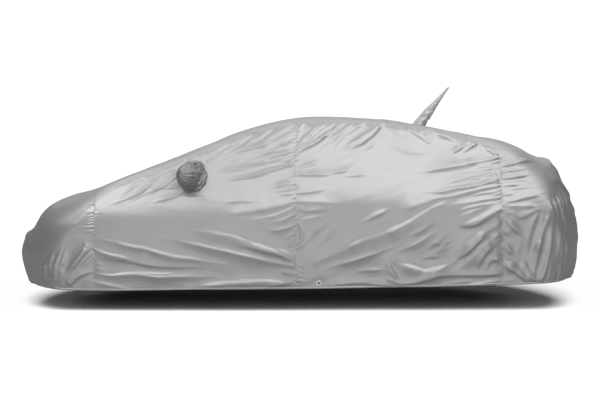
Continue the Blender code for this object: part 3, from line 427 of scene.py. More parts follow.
# --- the hanging form -------------------------------------------------------------------------
class Outline:
    """Signed distance to the outline over the centre line, kept on a fine table."""

    STEP = 0.01
    LOW = (-2.6, -0.1)
    SIZE = (520, 190)
    SOFTENING = 90      # passes that take the kinks out of the table well inside the outline
    DEPTH = 0.12        # from where on they count in full
    FAR = 9.0           # more than any distance in the table

    def __init__(self, rows: tuple, steps: int = 6) -> None:
        """Work out the table.

        Args:
            rows: Points of the outline.
            steps: Straight steps drawn between two points.
        """
        points = np.array(rows, dtype=float)
        run = run_along(points)
        at = np.concatenate([np.linspace(a, b, steps, endpoint=False)
                             for a, b in zip(run[:-1], run[1:])] + [[run[-1]]])
        line = np.stack(smooth_columns(run, points, at), axis=1)
        gx, gz = np.meshgrid(self.LOW[0] + self.STEP * np.arange(self.SIZE[0]),
                             self.LOW[1] + self.STEP * np.arange(self.SIZE[1]), indexing="ij")
        nearest = np.full(gx.shape, self.FAR)
        inside = np.zeros(gx.shape, dtype=bool)
        for (ax, az), (bx, bz) in zip(line[:-1], line[1:]):
            dx, dz = bx - ax, bz - az
            t = np.clip(((gx - ax) * dx + (gz - az) * dz) / (dx * dx + dz * dz), 0, 1)
            nearest = np.minimum(nearest, np.hypot(gx - ax - t * dx, gz - az - t * dz))
            spans = (ax <= gx) != (bx <= gx)
            below = gz < az + (gx - ax) * dz / (dx if dx else 1e-9)
            inside ^= spans & below
        table = np.where(inside, -nearest, nearest)
        soft = table
        for _ in range(self.SOFTENING):
            wide = np.pad(soft, 1, mode="edge")
            soft = (wide[2:, 1:-1] + wide[:-2, 1:-1] + wide[1:-1, 2:] + wide[1:-1, :-2]) / 4
        deep = step_up(-table, 0.0, self.DEPTH)
        self.table = table + (soft - table) * deep

    def distance(self, x: np.ndarray, z: np.ndarray) -> np.ndarray:
        """Distance of points in the centre plane from the outline, negative inside."""
        u = np.clip((x - self.LOW[0]) / self.STEP, 0, self.SIZE[0] - 1.001)
        v = np.clip((z - self.LOW[1]) / self.STEP, 0, self.SIZE[1] - 1.001)
        i, j = u.astype(int), v.astype(int)
        fu, fv = u - i, v - j
        t = self.table
        return ((t[i, j] * (1 - fu) + t[i + 1, j] * fu) * (1 - fv)
                + (t[i, j + 1] * (1 - fu) + t[i + 1, j + 1] * fu) * fv)


@dataclass
class Form:
    """The rounded form that the cloth hangs in."""

    half_width: float = 0.885       # at its widest, without the pockets
    lean: float = 0.43              # how far the side leans in for each metre above the belt
    belt_blend: float = 0.05        # height over which the belt rounds off
    hem_tuck: float = 0.055         # how far the elastic hem is drawn in
    roof_crown: float = 0.045       # fall of the cloth from the centre line to the shoulder
    end_bow: float = 0.17           # further bow of nose and tail in plan
    shoulder_radius: float = 0.055  # rounding between top and side
    nose_radius: float = 0.30       # rounding of the corners at the nose
    tail_radius: float = 0.21       # and at the tail

    ENDS = (1.3, 2.0)       # distance from the middle where the corners' rounding starts to grow, and ends
    BOW_ENDS = (1.35, 2.15)  # the same for the bow
    OUTSIDE = 4.0           # length of a ray that always ends outside
    HALVINGS = 32           # of that length until the ray's end is found

    def __post_init__(self) -> None:
        """Work out the outline's table."""
        self.outline = Outline(OUTLINE)

    def width(self, x: np.ndarray, z: np.ndarray) -> np.ndarray:
        """Half width of the hanging cloth at a place and height."""
        belt = smooth_rows(BELT, x)
        above = self.belt_blend * np.logaddexp(0, (z - belt) / self.belt_blend)
        below = np.clip((belt - z) / belt, 0, 1)
        return self.half_width * smooth_rows(PLAN, x) - self.lean * above - self.hem_tuck * below**2

    def value(self, point: np.ndarray) -> np.ndarray:
        """Distance-like value of points (..., 3) from the form, negative inside."""
        x, y, z = point[..., 0], np.abs(point[..., 1]), point[..., 2]
        width = self.width(x, z)
        bow = self.roof_crown + self.end_bow * step_up(np.abs(x), *self.BOW_ENDS)
        end_radius = np.where(x < 0, self.nose_radius, self.tail_radius)
        radius = self.shoulder_radius + (end_radius - self.shoulder_radius) * step_up(np.abs(x), *self.ENDS)
        over = self.outline.distance(x, z) + bow * (y / np.maximum(width, 0.2)) ** 2
        side = y - width
        corner = np.hypot(np.maximum(over + radius, 0), np.maximum(side + radius, 0))
        return np.minimum(np.maximum(over, side), -radius) + corner

    def hit(self, origin: np.ndarray, direction: np.ndarray) -> np.ndarray:
        """Meet the form with rays from inside.

        Args:
            origin: Starts of the rays, (..., 3) or broadcast to it.
            direction: Directions of the rays, (..., 3).

        Returns:
            The points where the rays meet the form.
        """
        low = np.zeros(direction.shape[:-1])
        high = low + self.OUTSIDE / np.linalg.norm(direction, axis=-1)
        for _ in range(self.HALVINGS):
            middle = (low + high) / 2
            inside = self.value(origin + middle[..., None] * direction) < 0
            low, high = np.where(inside, middle, low), np.where(inside, high, middle)
        return origin + high[..., None] * direction

    def normal(self, point: np.ndarray) -> np.ndarray:
        """Unit normals of the form at points (..., 3)."""
        reach = 0.008
        parts = [self.value(point + reach * e) - self.value(point - reach * e) for e in np.eye(3)]
        normal = np.stack(parts, axis=-1)
        return normal / np.linalg.norm(normal, axis=-1, keepdims=True)


# --- folds ------------------------------------------------------------------------------------
@dataclass(frozen=True)
class Fold:
    """One crease of the cloth along a smooth line on a flat map of the panel."""

    crease: Crease
    width: float
    height: float
    start: float
    end: float
    line: tuple

    RAMP = 0.40     # share of the length over which the height grows from an end
    TAPER = 0.45    # width left at a fold's end where its height runs out
    STEPS = 6       # straight steps between two points of the line
    REACH = 2.4     # flanks from the line to where the fold has died away
    FALL = 1.5      # how fast it dies away
    LUMP = 0.06     # length of the stretches that rise and fall along the crest
    UNEVEN = 0.22   # by what share of the height they do

    @classmethod
    def from_row(cls, row: tuple) -> "Fold":
        """Make a fold from a table's row, whose lengths are in millimetres."""
        crease, width, height, start, end, *places = row
        line = [(a / 1000, b / 1000) for a, b in zip(places[::2], places[1::2])]
        if line[-1][0] < line[0][0] or (line[-1][0] == line[0][0] and line[-1][1] < line[0][1]):
            line, start, end = line[::-1], end, start
        return cls(crease, width / 1000, height / 1000, start, end, tuple(line))

    def smooth_line(self) -> np.ndarray:
        """Points of the line, rounded between the given ones."""
        points = np.array(self.line, dtype=float)
        run = run_along(points)
        at = np.linspace(0, run[-1], self.STEPS * (len(points) - 1) + 1)
        return np.stack(smooth_columns(run, points, at), axis=1)

    def flanks(self) -> tuple[float, float, float]:
        """Lengths of the upper and the lower flank, and how far the crest lies above the line."""
        if self.crease is Crease.LIT:
            return self.width, self.width * LONG_FLANK, -LINE_SHIFT * self.width
        if self.crease is Crease.SHADED:
            return self.width * LONG_FLANK, self.width, LINE_SHIFT * self.width
        return self.width, self.width, 0.0

    def rise(self, u: np.ndarray, v: np.ndarray) -> np.ndarray:
        """Height of the fold.

        Args:
            u: First map coordinate of each point.
            v: Second map coordinate of each point.

        Returns:
            How far the fold lifts the cloth there.
        """
        line = self.smooth_line()
        upper, lower, shift = self.flanks()
        margin = self.REACH * max(upper, lower)
        low, high = line.min(axis=0) - margin, line.max(axis=0) + margin
        near = np.nonzero((u > low[0]) & (u < high[0]) & (v > low[1]) & (v < high[1]))[0]
        total = np.zeros(u.shape)
        if not len(near):
            return total
        start, along = line[:-1], np.diff(line, axis=0)
        length = np.hypot(*along.T)
        du, dv = u[near, None] - start[:, 0], v[near, None] - start[:, 1]
        way = (du * along[:, 0] + dv * along[:, 1]) / length
        off = (dv * along[:, 0] - du * along[:, 1]) / length
        past = way - np.clip(way, 0, length)
        best = np.argmin(off**2 + past**2, axis=1)
        pick = np.arange(len(near))
        run = np.concatenate([[0], np.cumsum(length)])
        share = (run[best] + np.clip(way[pick, best], 0, length[best])) / run[-1]
        off, past = off[pick, best] - shift, past[pick, best]
        grow = self.start + (1 - self.start) * step_up(share, 0, self.RAMP)
        fade = self.end + (1 - self.end) * step_up(1 - share, 0, self.RAMP)
        flank = np.where(off > 0, upper, lower) * (self.TAPER + (1 - self.TAPER) * grow * fade)
        cap = 0.5 * (upper + lower) * self.TAPER
        height = -self.height if self.crease is Crease.DIP else self.height
        slope = np.sqrt((off / flank) ** 2 + CREST**2) - CREST
        broken = 1 + self.UNEVEN * soft_noise(share * run[-1] / self.LUMP, 0 * share + self.width * 9e3, 91)
        total[near] = height * broken * grow * fade * np.exp(-self.FALL * slope - (past / cap) ** 2)
        return total


def fold_height(rows: tuple, u: np.ndarray, v: np.ndarray) -> np.ndarray:
    """Height of all folds of a table on a map."""
    total = np.zeros(u.shape)
    for row in rows:
        total += Fold.from_row(row).rise(u, v)
    return total


@dataclass(frozen=True)
class Pucker:
    """Small gathers that a tight thread draws into the cloth beside a seam."""

    pitch: float        # from one gather to the next
    height: float       # of the gathers at the seam
    reach: float        # how far they run from the seam
    slant: float        # how far a gather climbs for each metre that it runs
    band: tuple         # lowest and highest place along the seam with gathers
    seed: int

    def rise(self, along: np.ndarray, away: np.ndarray) -> np.ndarray:
        """Height of the gathers.

        Args:
            along: Place along the seam.
            away: Distance from the seam.

        Returns:
            How far the gathers lift the cloth.
        """
        level = along - self.slant * away
        phase = level / self.pitch + 0.9 * soft_noise(level / (3.1 * self.pitch), 0 * level, self.seed)
        wave = (0.5 + 0.5 * np.cos(2 * math.pi * phase)) ** 1.6 - 0.4
        strength = 0.65 + 0.6 * soft_noise(level / (1.7 * self.pitch), 0 * level, self.seed + 1)
        reach = self.reach * (0.8 + 0.55 * soft_noise(level / (1.3 * self.pitch), 0 * level, self.seed + 2))
        low, high = self.band
        inside = step_up(along, low - 0.03, low + 0.05) * (1 - step_up(along, high - 0.05, high + 0.03))
        return self.height * wave * strength * inside * np.exp(-(away / reach) ** 1.4)


@dataclass(frozen=True)
class Strain:
    """Fine creases side by side that a pull draws into a patch of the cloth."""

    centre: tuple       # place and height of the patch's centre
    size: tuple         # its half length and half height
    angle: float        # of the creases, in degrees, positive where they climb towards the tail
    pitch: float        # from one crease to the next
    height: float

    def rise(self, u: np.ndarray, v: np.ndarray, seed: int) -> np.ndarray:
        """Height of the creases at points (u, v) of the map."""
        du, dv = u - self.centre[0], v - self.centre[1]
        inside = np.exp(-((du / self.size[0]) ** 2 + (dv / self.size[1]) ** 2) ** 2)
        c, s = math.cos(math.radians(self.angle)), math.sin(math.radians(self.angle))
        along, off = du * c + dv * s, dv * c - du * s
        off = off + 0.4 * self.pitch * soft_noise(along / 0.16, off / 0.09, seed)
        crest = 1 - np.sqrt(soft_noise(along / (6 * self.pitch), off / self.pitch, seed + 1) ** 2 + 0.012)
        strength = np.clip(0.55 + 0.9 * soft_noise(along / 0.13, off / 0.06, seed + 2), 0, None)
        return self.height * (crest**2 - 0.3) * strength * inside


# centre (place, height), half length and half height, slope in degrees, pitch, height of the creases
STRAINS = tuple(Strain(*row) for row in (
    ((-1.17, 0.93), (0.30, 0.15), 31, 0.020, 0.0034),
    ((-0.40, 1.26), (0.42, 0.16), 40, 0.026, 0.0042),
    ((-0.35, 1.08), (0.40, 0.13), 14, 0.026, 0.0030),
    ((0.25, 1.31), (0.34, 0.13), 44, 0.022, 0.0042),
    ((1.20, 1.03), (0.34, 0.20), 12, 0.026, 0.0022),
    ((1.62, 0.98), (0.20, 0.24), 5, 0.026, 0.0026),
    ((0.52, 0.56), (0.55, 0.24), 27, 0.030, 0.0016),
    ((-0.80, 0.42), (0.72, 0.22), -12, 0.036, 0.0014),
    ((-0.55, 0.22), (0.80, 0.06), 2, 0.024, 0.0018),
    ((0.80, 0.24), (0.65, 0.07), 4, 0.022, 0.0022),
    ((1.76, 0.45), (0.20, 0.32), 76, 0.034, 0.0045),
    ((-1.74, 0.36), (0.22, 0.20), 64, 0.032, 0.0032),
    ((1.33, 0.42), (0.20, 0.26), 46, 0.030, 0.0036),
    ((0.75, 1.24), (0.24, 0.13), -30, 0.034, 0.0022),
    ((-0.90, 1.10), (0.26, 0.06), 24, 0.022, 0.0018),
    ((1.05, 0.42), (0.14, 0.14), 20, 0.034, 0.0034),
    ((1.93, 0.85), (0.10, 0.24), -66, 0.022, 0.0036),
    ((1.93, 0.42), (0.12, 0.30), 86, 0.026, 0.0040),
))

# gathers by seam: those on its nose side and those on its tail side, by height above the floor
FRONT_PUCKERS = (Pucker(0.026, 0.0060, 0.085, -0.10, (0.52, 0.88), 11),
                 Pucker(0.023, 0.0044, 0.030, 0.05, (0.24, 0.90), 12))
MIDDLE_PUCKERS = (Pucker(0.026, 0.0046, 0.036, -0.30, (0.20, 1.38), 21),
                  Pucker(0.026, 0.0048, 0.036, 0.25, (0.20, 1.38), 22))
REAR_PUCKERS = (Pucker(0.030, 0.0058, 0.060, -0.20, (0.72, 1.18), 31),
                Pucker(0.030, 0.0054, 0.045, 0.12, (0.72, 1.20), 32))
LOW_PUCKERS = (Pucker(0.020, 0.0048, 0.024, -0.45, (0.24, 0.74), 41),
               Pucker(0.020, 0.0050, 0.026, -0.55, (0.30, 0.72), 42))
# and along the shoulder seam: below it, above it, by place
SHOULDER_PUCKERS = (Pucker(0.050, 0.0040, 0.060, 0.9, (-1.45, 1.45), 51),
                    Pucker(0.060, 0.0030, 0.050, 0.3, (-1.45, 1.45), 52))


# --- the loft ---------------------------------------------------------------------------------
def spread(length: np.ndarray, first: tuple, last: tuple, cells: int) -> np.ndarray:
    """Share lines of given lengths into dense end rows and even rows between them.

    Args:
        length: Lengths of the lines, (n,).
        first: Offsets of the dense rows from the start.
        last: Offsets of the dense rows from the end.
        cells: Number of even cells between them.

    Returns:
        Places of the rows on each line, (n, rows).
    """
    length = np.atleast_1d(length)[:, None]
    head = np.broadcast_to(np.array(first), (len(length), len(first)))
    tail = length - np.array(last)[::-1]
    t = np.linspace(0, 1, cells + 1)[1:-1]
    middle = head[:, -1:] * (1 - t) + tail[:, :1] * t
    return np.concatenate([head, middle, tail], axis=1)


def lengths_along(lines: np.ndarray) -> np.ndarray:
    """Length of the way from the start of each line (n, points, 3) to each of its points."""
    steps = np.linalg.norm(np.diff(lines, axis=1), axis=2)
    return np.concatenate([np.zeros((len(lines), 1)), np.cumsum(steps, axis=1)], axis=1)


class Loft:
    """The fine grid of the whole cover: places, normals, maps and distances to the seams."""

    FAR = 9.0                   # a distance that stands for out of reach
    SAMPLES = 140               # points of a line whose length is measured
    SIDE_LEAN = (0.14, 0.38)    # sideways part of the normal where the side's folds start, and are full
    TOP_LEAN = (0.55, 0.85)     # the same for its upward part and the top's folds
    END_LEAN = (0.45, 0.75)     # and for its lengthwise part and the end faces' folds
    LEFT_STRAY = (0.0022, 0.06)  # how far folds stray from their lines, and over what length
    RIGHT_STRAY = (0.026, 0.22)
    RIGHT_FOLDS = 0.85          # height of the right side's folds, as a share of the left side's
    FACE_FOLDS = 1.6            # height of the end faces' folds, as a share of their table's
    BELT_RISE = (0.72, 0.84)    # heights between which the low side's folds give way to the upper side's
    HOLD_REACH = 0.030          # how far from a seam its stitches hold the folds down
    GROOVE = (0.0002, 0.0016)   # a seam's groove: depth, half width
    WELT = (0.0003, 0.0045, 0.0028)     # the welt beside it: height, distance from the seam, half width
    STITCH_DENT = (0.0002, 0.0018)      # the dent of its stitches: depth, half width
    HEM_ROLL = (0.0042, 0.0065, 0.0075)  # the rolled hem: height, distance from the edge, half width
    HEM_DENT = (0.0010, 0.0022)         # the dent of its stitches
    HEM_GATHERS = (0.0042, 0.055)       # gathers of the elastic hem: height, how far up they run
    # slack between the folds: height, length and width of its waves, and their slant before and behind x = 0
    BROAD_SLACK = (0.0028, 0.42, 0.30)
    LONG_SLACK = (0.0011, 0.33, 0.075)
    SHORT_SLACK = (0.00035, 0.11, 0.032)
    SLACK_TILT = (0.20, -0.40)
    # round the eyelets, the pouches and the sleeve: half sizes of the area where the cloth keeps few folds
    STILL_EYELET = (0.045, 0.038)
    STILL_POUCH = (0.105, 0.125)
    STILL_SLEEVE = (0.070, 0.052)

    def __init__(self, form: Form) -> None:
        """Lay the grid on the form and lift it by its folds.

        Args:
            form: The form that the cloth hangs in.
        """
        self.form = form
        self.make_stations()
        self.make_body()
        self.nose = self.add_face(0)
        self.tail = self.add_face(self.count - 1)
        self.base = np.concatenate(self.parts)
        self.normals = form.normal(self.base)
        self.rise = np.zeros(len(self.base))
        self.measure_seams()
        self.lift_cloth()
        self.points = self.base + self.normals * self.rise[:, None]
        self.points[:, 2] -= ROOF_HEIGHT

    def make_stations(self) -> None:
        """Work out the stations from the nose's corner to the tail's corner."""
        corner = spread(CORNER_RUN, SEAM_ROWS, (0.0,), CORNER_CELLS)[0] / CORNER_RUN
        front = FRONT_SEAM + spread(MIDDLE_SEAM - FRONT_SEAM, SEAM_ROWS, SEAM_ROWS, FRONT_CELLS)[0]
        rear = MIDDLE_SEAM + spread(REAR_SEAM - MIDDLE_SEAM, SEAM_ROWS, SEAM_ROWS, REAR_CELLS)[0]
        self.place = np.concatenate([np.full(len(corner) - 1, FRONT_SEAM), front, rear[1:],
                                     np.full(len(corner) - 1, REAR_SEAM)])
        self.share = np.concatenate([corner[:0:-1], 0 * front, 0 * rear[1:], corner[1:]])
        self.sign = np.where(self.place < 0, -1.0, 1.0)
        self.front = len(corner) - 1
        self.middle = self.front + len(front) - 1
        self.rear = self.middle + len(rear) - 1
        self.count = len(self.place)
        fan = np.where(self.sign[:, None] < 0, NOSE_FAN, TAIL_FAN)
        self.fan = fan * self.share[:, None]
        self.origin = np.stack([self.place, 0 * self.place, smooth_rows(HEM, self.place)], axis=1)
        self.hem_lift = HEM_LIFT * self.share**2
        self.climb = self.station_climb()

    def station_climb(self) -> np.ndarray:
        """Climb of each station's ray that meets its shoulder seam."""
        up = self.form.hit(np.stack([self.place, 0 * self.place, 0 * self.place + 0.3], axis=1),
                           np.tile([0.0, 0.0, 1.0], (self.count, 1)))
        goal = up[:, 2] - smooth_rows(SEAM_DROP, self.place)
        low, high = np.full(self.count, 0.1), np.full(self.count, 6.0)
        for _ in range(26):
            middle = (low + high) / 2
            point = self.form.hit(self.origin, np.stack([0 * middle, 0 * middle - 1, middle], axis=1))
            under = point[:, 2] < goal
            low, high = np.where(under, middle, low), np.where(under, high, middle)
        return np.where(self.sign > 0, high + (TAIL_RISE - high) * self.share, high)

    def side_rays(self, c: np.ndarray, hand: float) -> np.ndarray:
        """Rays of the stations to a side, at shares c (stations, rows) of the way up."""
        slope = self.sign[:, None] * (self.fan[:, :1] + (self.fan[:, 1:] - self.fan[:, :1]) * c)
        return np.stack([slope, np.full(c.shape, hand), c * self.climb[:, None]], axis=-1)

    def top_rays(self, b: np.ndarray) -> np.ndarray:
        """Rays of the stations to the top, at places b (stations, rows) across."""
        slope = np.broadcast_to(self.sign[:, None] * self.fan[:, 1:], b.shape)
        return np.stack([slope, b, np.broadcast_to(self.climb[:, None], b.shape)], axis=-1)

    def make_body(self) -> None:
        """Lay the stations' points from hem to hem over the top, at true distances along the cloth."""
        origin = self.origin[:, None, :]
        dense = np.broadcast_to(np.linspace(0, 1, self.SAMPLES), (self.count, self.SAMPLES))
        run = lengths_along(self.form.hit(origin, self.side_rays(dense, -1.0)))
        lift = self.hem_lift[:, None]
        goal = lift + spread(run[:, -1] - self.hem_lift, HEM_ROWS, SEAM_ROWS, SIDE_CELLS)
        self.up = np.stack([np.interp(g, r, dense[0]) for g, r in zip(goal, run)])
        self.side_run = goal - lift
        run = lengths_along(self.form.hit(origin, self.top_rays(2 * dense - 1)))
        goal = spread(run[:, -1], SEAM_ROWS, SEAM_ROWS, TOP_CELLS)
        self.across = np.stack([np.interp(g, r, 2 * dense[0] - 1) for g, r in zip(goal, run)])
        self.top_run = goal
        rays = np.concatenate([self.side_rays(self.up, -1.0), self.top_rays(self.across)[:, 1:-1],
                               self.side_rays(self.up[:, ::-1], 1.0)], axis=1)
        body = self.form.hit(origin, rays)
        self.side_rows, self.top_rows = self.up.shape[1], self.across.shape[1]
        self.girth = body.shape[1]
        self.parts = [body.reshape(-1, 3)]
        self.total = self.count * self.girth

    def index(self, i: np.ndarray, j: np.ndarray) -> np.ndarray:
        """Number of the body's grid point at station i and girth row j."""
        return i * self.girth + j

    def add_face(self, station: int) -> np.ndarray:
        """Lay the nose's or the tail's own face, whose border is a station's line.

        Args:
            station: The station at the border.

        Returns:
            Numbers of the face's points, rows up by columns across.
        """
        up, across = self.up[station], self.across[station]
        rows, columns = len(up), len(across)
        low, high = self.fan[station]
        slope = self.sign[station] * (low + (high - low) * up)
        rays = np.stack([np.broadcast_to(slope[:, None], (rows, columns)),
                         np.broadcast_to(across[None, :], (rows, columns)),
                         np.broadcast_to((up * self.climb[station])[:, None], (rows, columns))], axis=-1)
        points = self.form.hit(self.origin[station], rays)
        numbers = np.zeros((rows, columns), dtype=int)
        inner = (rows - 1) * (columns - 2)
        numbers[:-1, 1:-1] = self.total + np.arange(inner).reshape(rows - 1, columns - 2)
        numbers[:, 0] = self.index(station, np.arange(rows))
        numbers[:, -1] = self.index(station, self.girth - 1 - np.arange(rows))
        numbers[-1, :] = self.index(station, rows - 1 + np.arange(columns))
        self.parts.append(points[:-1, 1:-1].reshape(-1, 3))
        self.total += inner
        return numbers

    def whole(self, body: np.ndarray, nose: np.ndarray, tail: np.ndarray) -> np.ndarray:
        """Join values of the body's grid and of the two faces' inner points into one list."""
        return np.concatenate([body.reshape(-1), nose[:-1, 1:-1].reshape(-1), tail[:-1, 1:-1].reshape(-1)])

    def measure_seams(self) -> None:
        """Distances along the cloth from each point to the hem and to the seams, and cloth maps."""
        body = self.base[:self.count * self.girth].reshape(self.count, self.girth, 3)
        hem = np.concatenate([self.side_run, self.FAR + 0 * self.top_run[:, 1:-1], self.side_run[:, ::-1]],
                             axis=1)
        face_hem = np.broadcast_to(self.side_run[0][:, None], self.nose.shape)
        tail_hem = np.broadcast_to(self.side_run[-1][:, None], self.tail.shape)
        self.hem_gap = self.whole(hem, face_hem, tail_hem)
        below = self.side_run[:, -1:] - self.side_run
        over = np.minimum(self.top_run, self.top_run[:, -1:] - self.top_run)
        shoulder = np.concatenate([-below, over[:, 1:-1], -below[:, ::-1]], axis=1)
        shoulder[:self.front] = self.FAR
        blank = np.full(self.nose.shape, self.FAR)
        tail_top = -np.broadcast_to((self.side_run[-1, -1] - self.side_run[-1])[:, None], self.tail.shape)
        self.shoulder_gap = self.whole(shoulder, blank, tail_top)
        self.upright_gap = {}
        for name, station in (("front", self.front), ("middle", self.middle), ("rear", self.rear)):
            gap = np.linalg.norm(body - body[station][None], axis=2)
            gap *= np.where(np.arange(self.count) < station, -1.0, 1.0)[:, None]
            self.upright_gap[name] = self.whole(gap, -blank, blank)
        side, top = self.side_run[:, -1:], self.top_run[:, -1:]
        over = np.concatenate([self.side_run, side + self.top_run[:, 1:-1],
                               side + top + side - self.side_run[:, ::-1]], axis=1)
        cover = self.whole(over, face_hem, tail_hem)
        reach = self.whole(np.repeat(self.place + self.sign * self.share * CORNER_RUN, self.girth)
                           .reshape(self.count, self.girth), blank, blank)
        self.body_map = np.stack([reach, cover], axis=1)
        self.face_map = np.stack([self.base[:, 1], self.base[:, 2]], axis=1)

    def seam_profile(self, gap: np.ndarray) -> np.ndarray:
        """Fine section of a seam: a groove, a low welt and the dent of its stitches."""
        away = np.abs(gap)
        depth, half = self.GROOVE
        height, place, width = self.WELT
        dent, reach = self.STITCH_DENT
        welt = -depth * np.exp(-(away / half) ** 2) + height * np.exp(-((away - place) / width) ** 2)
        return welt - dent * np.exp(-((away - SEAM_ROWS[SEAM_STITCH_ROW]) / reach) ** 2)

    def hem_profile(self, gap: np.ndarray) -> np.ndarray:
        """Section of the rolled hem over its elastic."""
        height, place, half = self.HEM_ROLL
        dent, reach = self.HEM_DENT
        roll = height * np.sqrt(np.clip(1 - ((gap - place) / half) ** 2, 0, 1))
        return roll - dent * np.exp(-((gap - HEM_ROWS[HEM_STITCH_ROW]) / reach) ** 2)

    def lift_cloth(self) -> None:
        """Lift the cloth by its folds, gathers, seams and hem."""
        x, y, z = self.base.T
        fold = self.side_folds(step_up(np.abs(self.normals[:, 1]), *self.SIDE_LEAN))
        top = step_up(self.normals[:, 2], *self.TOP_LEAN)
        chosen = np.nonzero(top > 0)[0]
        fold[chosen] += fold_height(TOP_FOLDS, x[chosen], y[chosen]) * top[chosen]
        ends = step_up(np.abs(self.normals[:, 0]), *self.END_LEAN)
        for rows, where in ((NOSE_FACE_FOLDS, x < 0), (TAIL_FACE_FOLDS, x > 0)):
            chosen = np.nonzero(where & (ends > 0))[0]
            fold[chosen] += self.FACE_FOLDS * fold_height(rows, y[chosen], z[chosen]) * ends[chosen]
        self.rise = (fold + self.small_unevenness(x, y, z) + self.gathers(x, z)) * self.stillness(x, y, z)
        for gap in self.upright_gap.values():
            self.rise += self.seam_profile(gap)
        near = np.abs(self.shoulder_gap) < self.FAR / 2
        self.rise += np.where(near, self.seam_profile(self.shoulder_gap), 0.0)
        self.rise += self.hem_profile(self.hem_gap)

    def side_folds(self, side: np.ndarray) -> np.ndarray:
        """Folds and strains of the sides, with those that run on round the nose and the tail.

        Args:
            side: How far each point belongs to a side, from 0 to 1.

        Returns:
            How far they lift each point.
        """
        x, y, z = self.base.T
        left = y < 0
        warp, scale = (np.where(left, a, b) for a, b in zip(self.LEFT_STRAY, self.RIGHT_STRAY))
        u = x + warp * soft_noise(x / scale, z / scale, 5)
        v = z + warp * soft_noise(x / scale, z / scale, 6)
        gap = self.upright_gap
        fold = np.zeros(len(x))
        for rows, low, high in ((NOSE_FOLDS, None, "front"), (FRONT_FOLDS, "front", "middle"),
                                (REAR_FOLDS, "middle", "rear"), (TAIL_FOLDS, "rear", None)):
            inside = np.ones(len(x))
            if low:
                inside *= step_up(gap[low], -SEAM_MERGE, SEAM_MERGE)
            if high:
                inside *= step_up(-gap[high], -SEAM_MERGE, SEAM_MERGE)
            chosen = np.nonzero(inside * side > 0)[0]
            fold[chosen] += (fold_height(rows, u[chosen], v[chosen]) * (inside * side)[chosen]
                             * np.where(left, 1.0, self.RIGHT_FOLDS)[chosen])
        fold *= LOW_FOLDS + (HIGH_FOLDS - LOW_FOLDS) * step_up(z, *self.BELT_RISE)
        for name in gap:
            fold *= 1 - SEAM_HOLD * np.exp(-(gap[name] / self.HOLD_REACH) ** 2)
        for hand, number in ((-1, 500), (1, 700)):
            chosen = np.nonzero((y * hand > 0.3) & (side > 0))[0]
            for k, strain in enumerate(STRAINS):
                fold[chosen] += strain.rise(x[chosen], z[chosen], number + 5 * k) * side[chosen]
        near = np.abs(self.shoulder_gap) < self.FAR / 2
        return fold * np.where(near, step_up(-self.shoulder_gap, -0.004, 0.008), 1.0)

    def stillness(self, x: np.ndarray, y: np.ndarray, z: np.ndarray) -> np.ndarray:
        """Share of its folds that the cloth keeps round the eyelets, the pouches and the sleeve."""
        places = ((x, z, EYELET_PLACE, self.STILL_EYELET), (x, z, MirrorPocket.centre, self.STILL_POUCH),
                  (x, y, (AntennaSleeve.place, 0.0), self.STILL_SLEEVE))
        eyelet, pouch, sleeve = (np.hypot((a - centre[0]) / size[0], (b - centre[1]) / size[1])
                                 for a, b, centre, size in places)
        still = 1 - np.exp(-eyelet**4)
        still *= np.where(np.abs(y) > 0.6, 1 - 0.75 * np.exp(-pouch**6), 1.0)
        return still * np.where(z > 1.3, 1 - 0.8 * np.exp(-sleeve**6), 1.0)

    def small_unevenness(self, x: np.ndarray, y: np.ndarray, z: np.ndarray) -> np.ndarray:
        """Slack of the cloth between its folds: long low waves and shorter, fainter ones."""
        cover = self.body_map[:, 1]
        tilt = np.where(x < 0, *self.SLACK_TILT)
        lean = z + tilt * x
        waves = sum(height * soft_noise(x / length, lean / across + 7 * np.sign(y), seed)
                    for seed, (height, length, across) in ((71, self.LONG_SLACK), (72, self.SHORT_SLACK)))
        height, length, across = self.BROAD_SLACK
        return waves + height * soft_noise(x / length, cover / across, 73)

    def gathers(self, x: np.ndarray, z: np.ndarray) -> np.ndarray:
        """Gathers beside the seams and over the elastic hem of nose and tail."""
        total = np.zeros(len(x))
        for name, (before, behind) in (("front", FRONT_PUCKERS), ("middle", MIDDLE_PUCKERS),
                                       ("rear", REAR_PUCKERS), ("rear", LOW_PUCKERS)):
            gap = self.upright_gap[name]
            for pucker, away in ((before, -gap), (behind, gap)):
                near = np.nonzero((away >= 0) & (away < 3 * pucker.reach))[0]
                total[near] += pucker.rise(z[near], away[near])
        for pucker, away in zip(SHOULDER_PUCKERS, (-self.shoulder_gap, self.shoulder_gap)):
            near = np.nonzero((away >= 0) & (away < 3 * pucker.reach) & (x > FRONT_SEAM))[0]
            total[near] += pucker.rise(x[near], away[near])
        y = self.base[:, 1]
        around = np.where(np.abs(x) > 1.5, np.arctan2(y, np.abs(x) - 1.4) * 0.9, 0)
        ends = step_up(np.abs(x), 1.62, 1.85)
        wave = soft_noise(around / 0.032, 0 * x, 81) + 0.6 * soft_noise(around / 0.015, 0 * x, 82)
        height, reach = self.HEM_GATHERS
        return total + height * ends * wave * np.exp(-self.hem_gap / reach)

    def body_quads(self, i: np.ndarray, j: np.ndarray) -> np.ndarray:
        """Quads of the body between the chosen stations i and the chosen girth rows j."""
        a, b = (g.reshape(-1) for g in np.meshgrid(i[:-1], j[:-1], indexing="ij"))
        c, d = (g.reshape(-1) for g in np.meshgrid(i[1:], j[1:], indexing="ij"))
        return np.stack([self.index(a, b), self.index(c, b), self.index(c, d), self.index(a, d)], axis=1)

    def thinned(self, low: int, high: int, keep: int) -> np.ndarray:
        """Grid lines from low to high: all of the dense ones at both ends, every second one between."""
        return np.concatenate([np.arange(low, low + keep), np.arange(low + keep, high - keep, 2),
                               np.arange(high - keep, high + 1)])

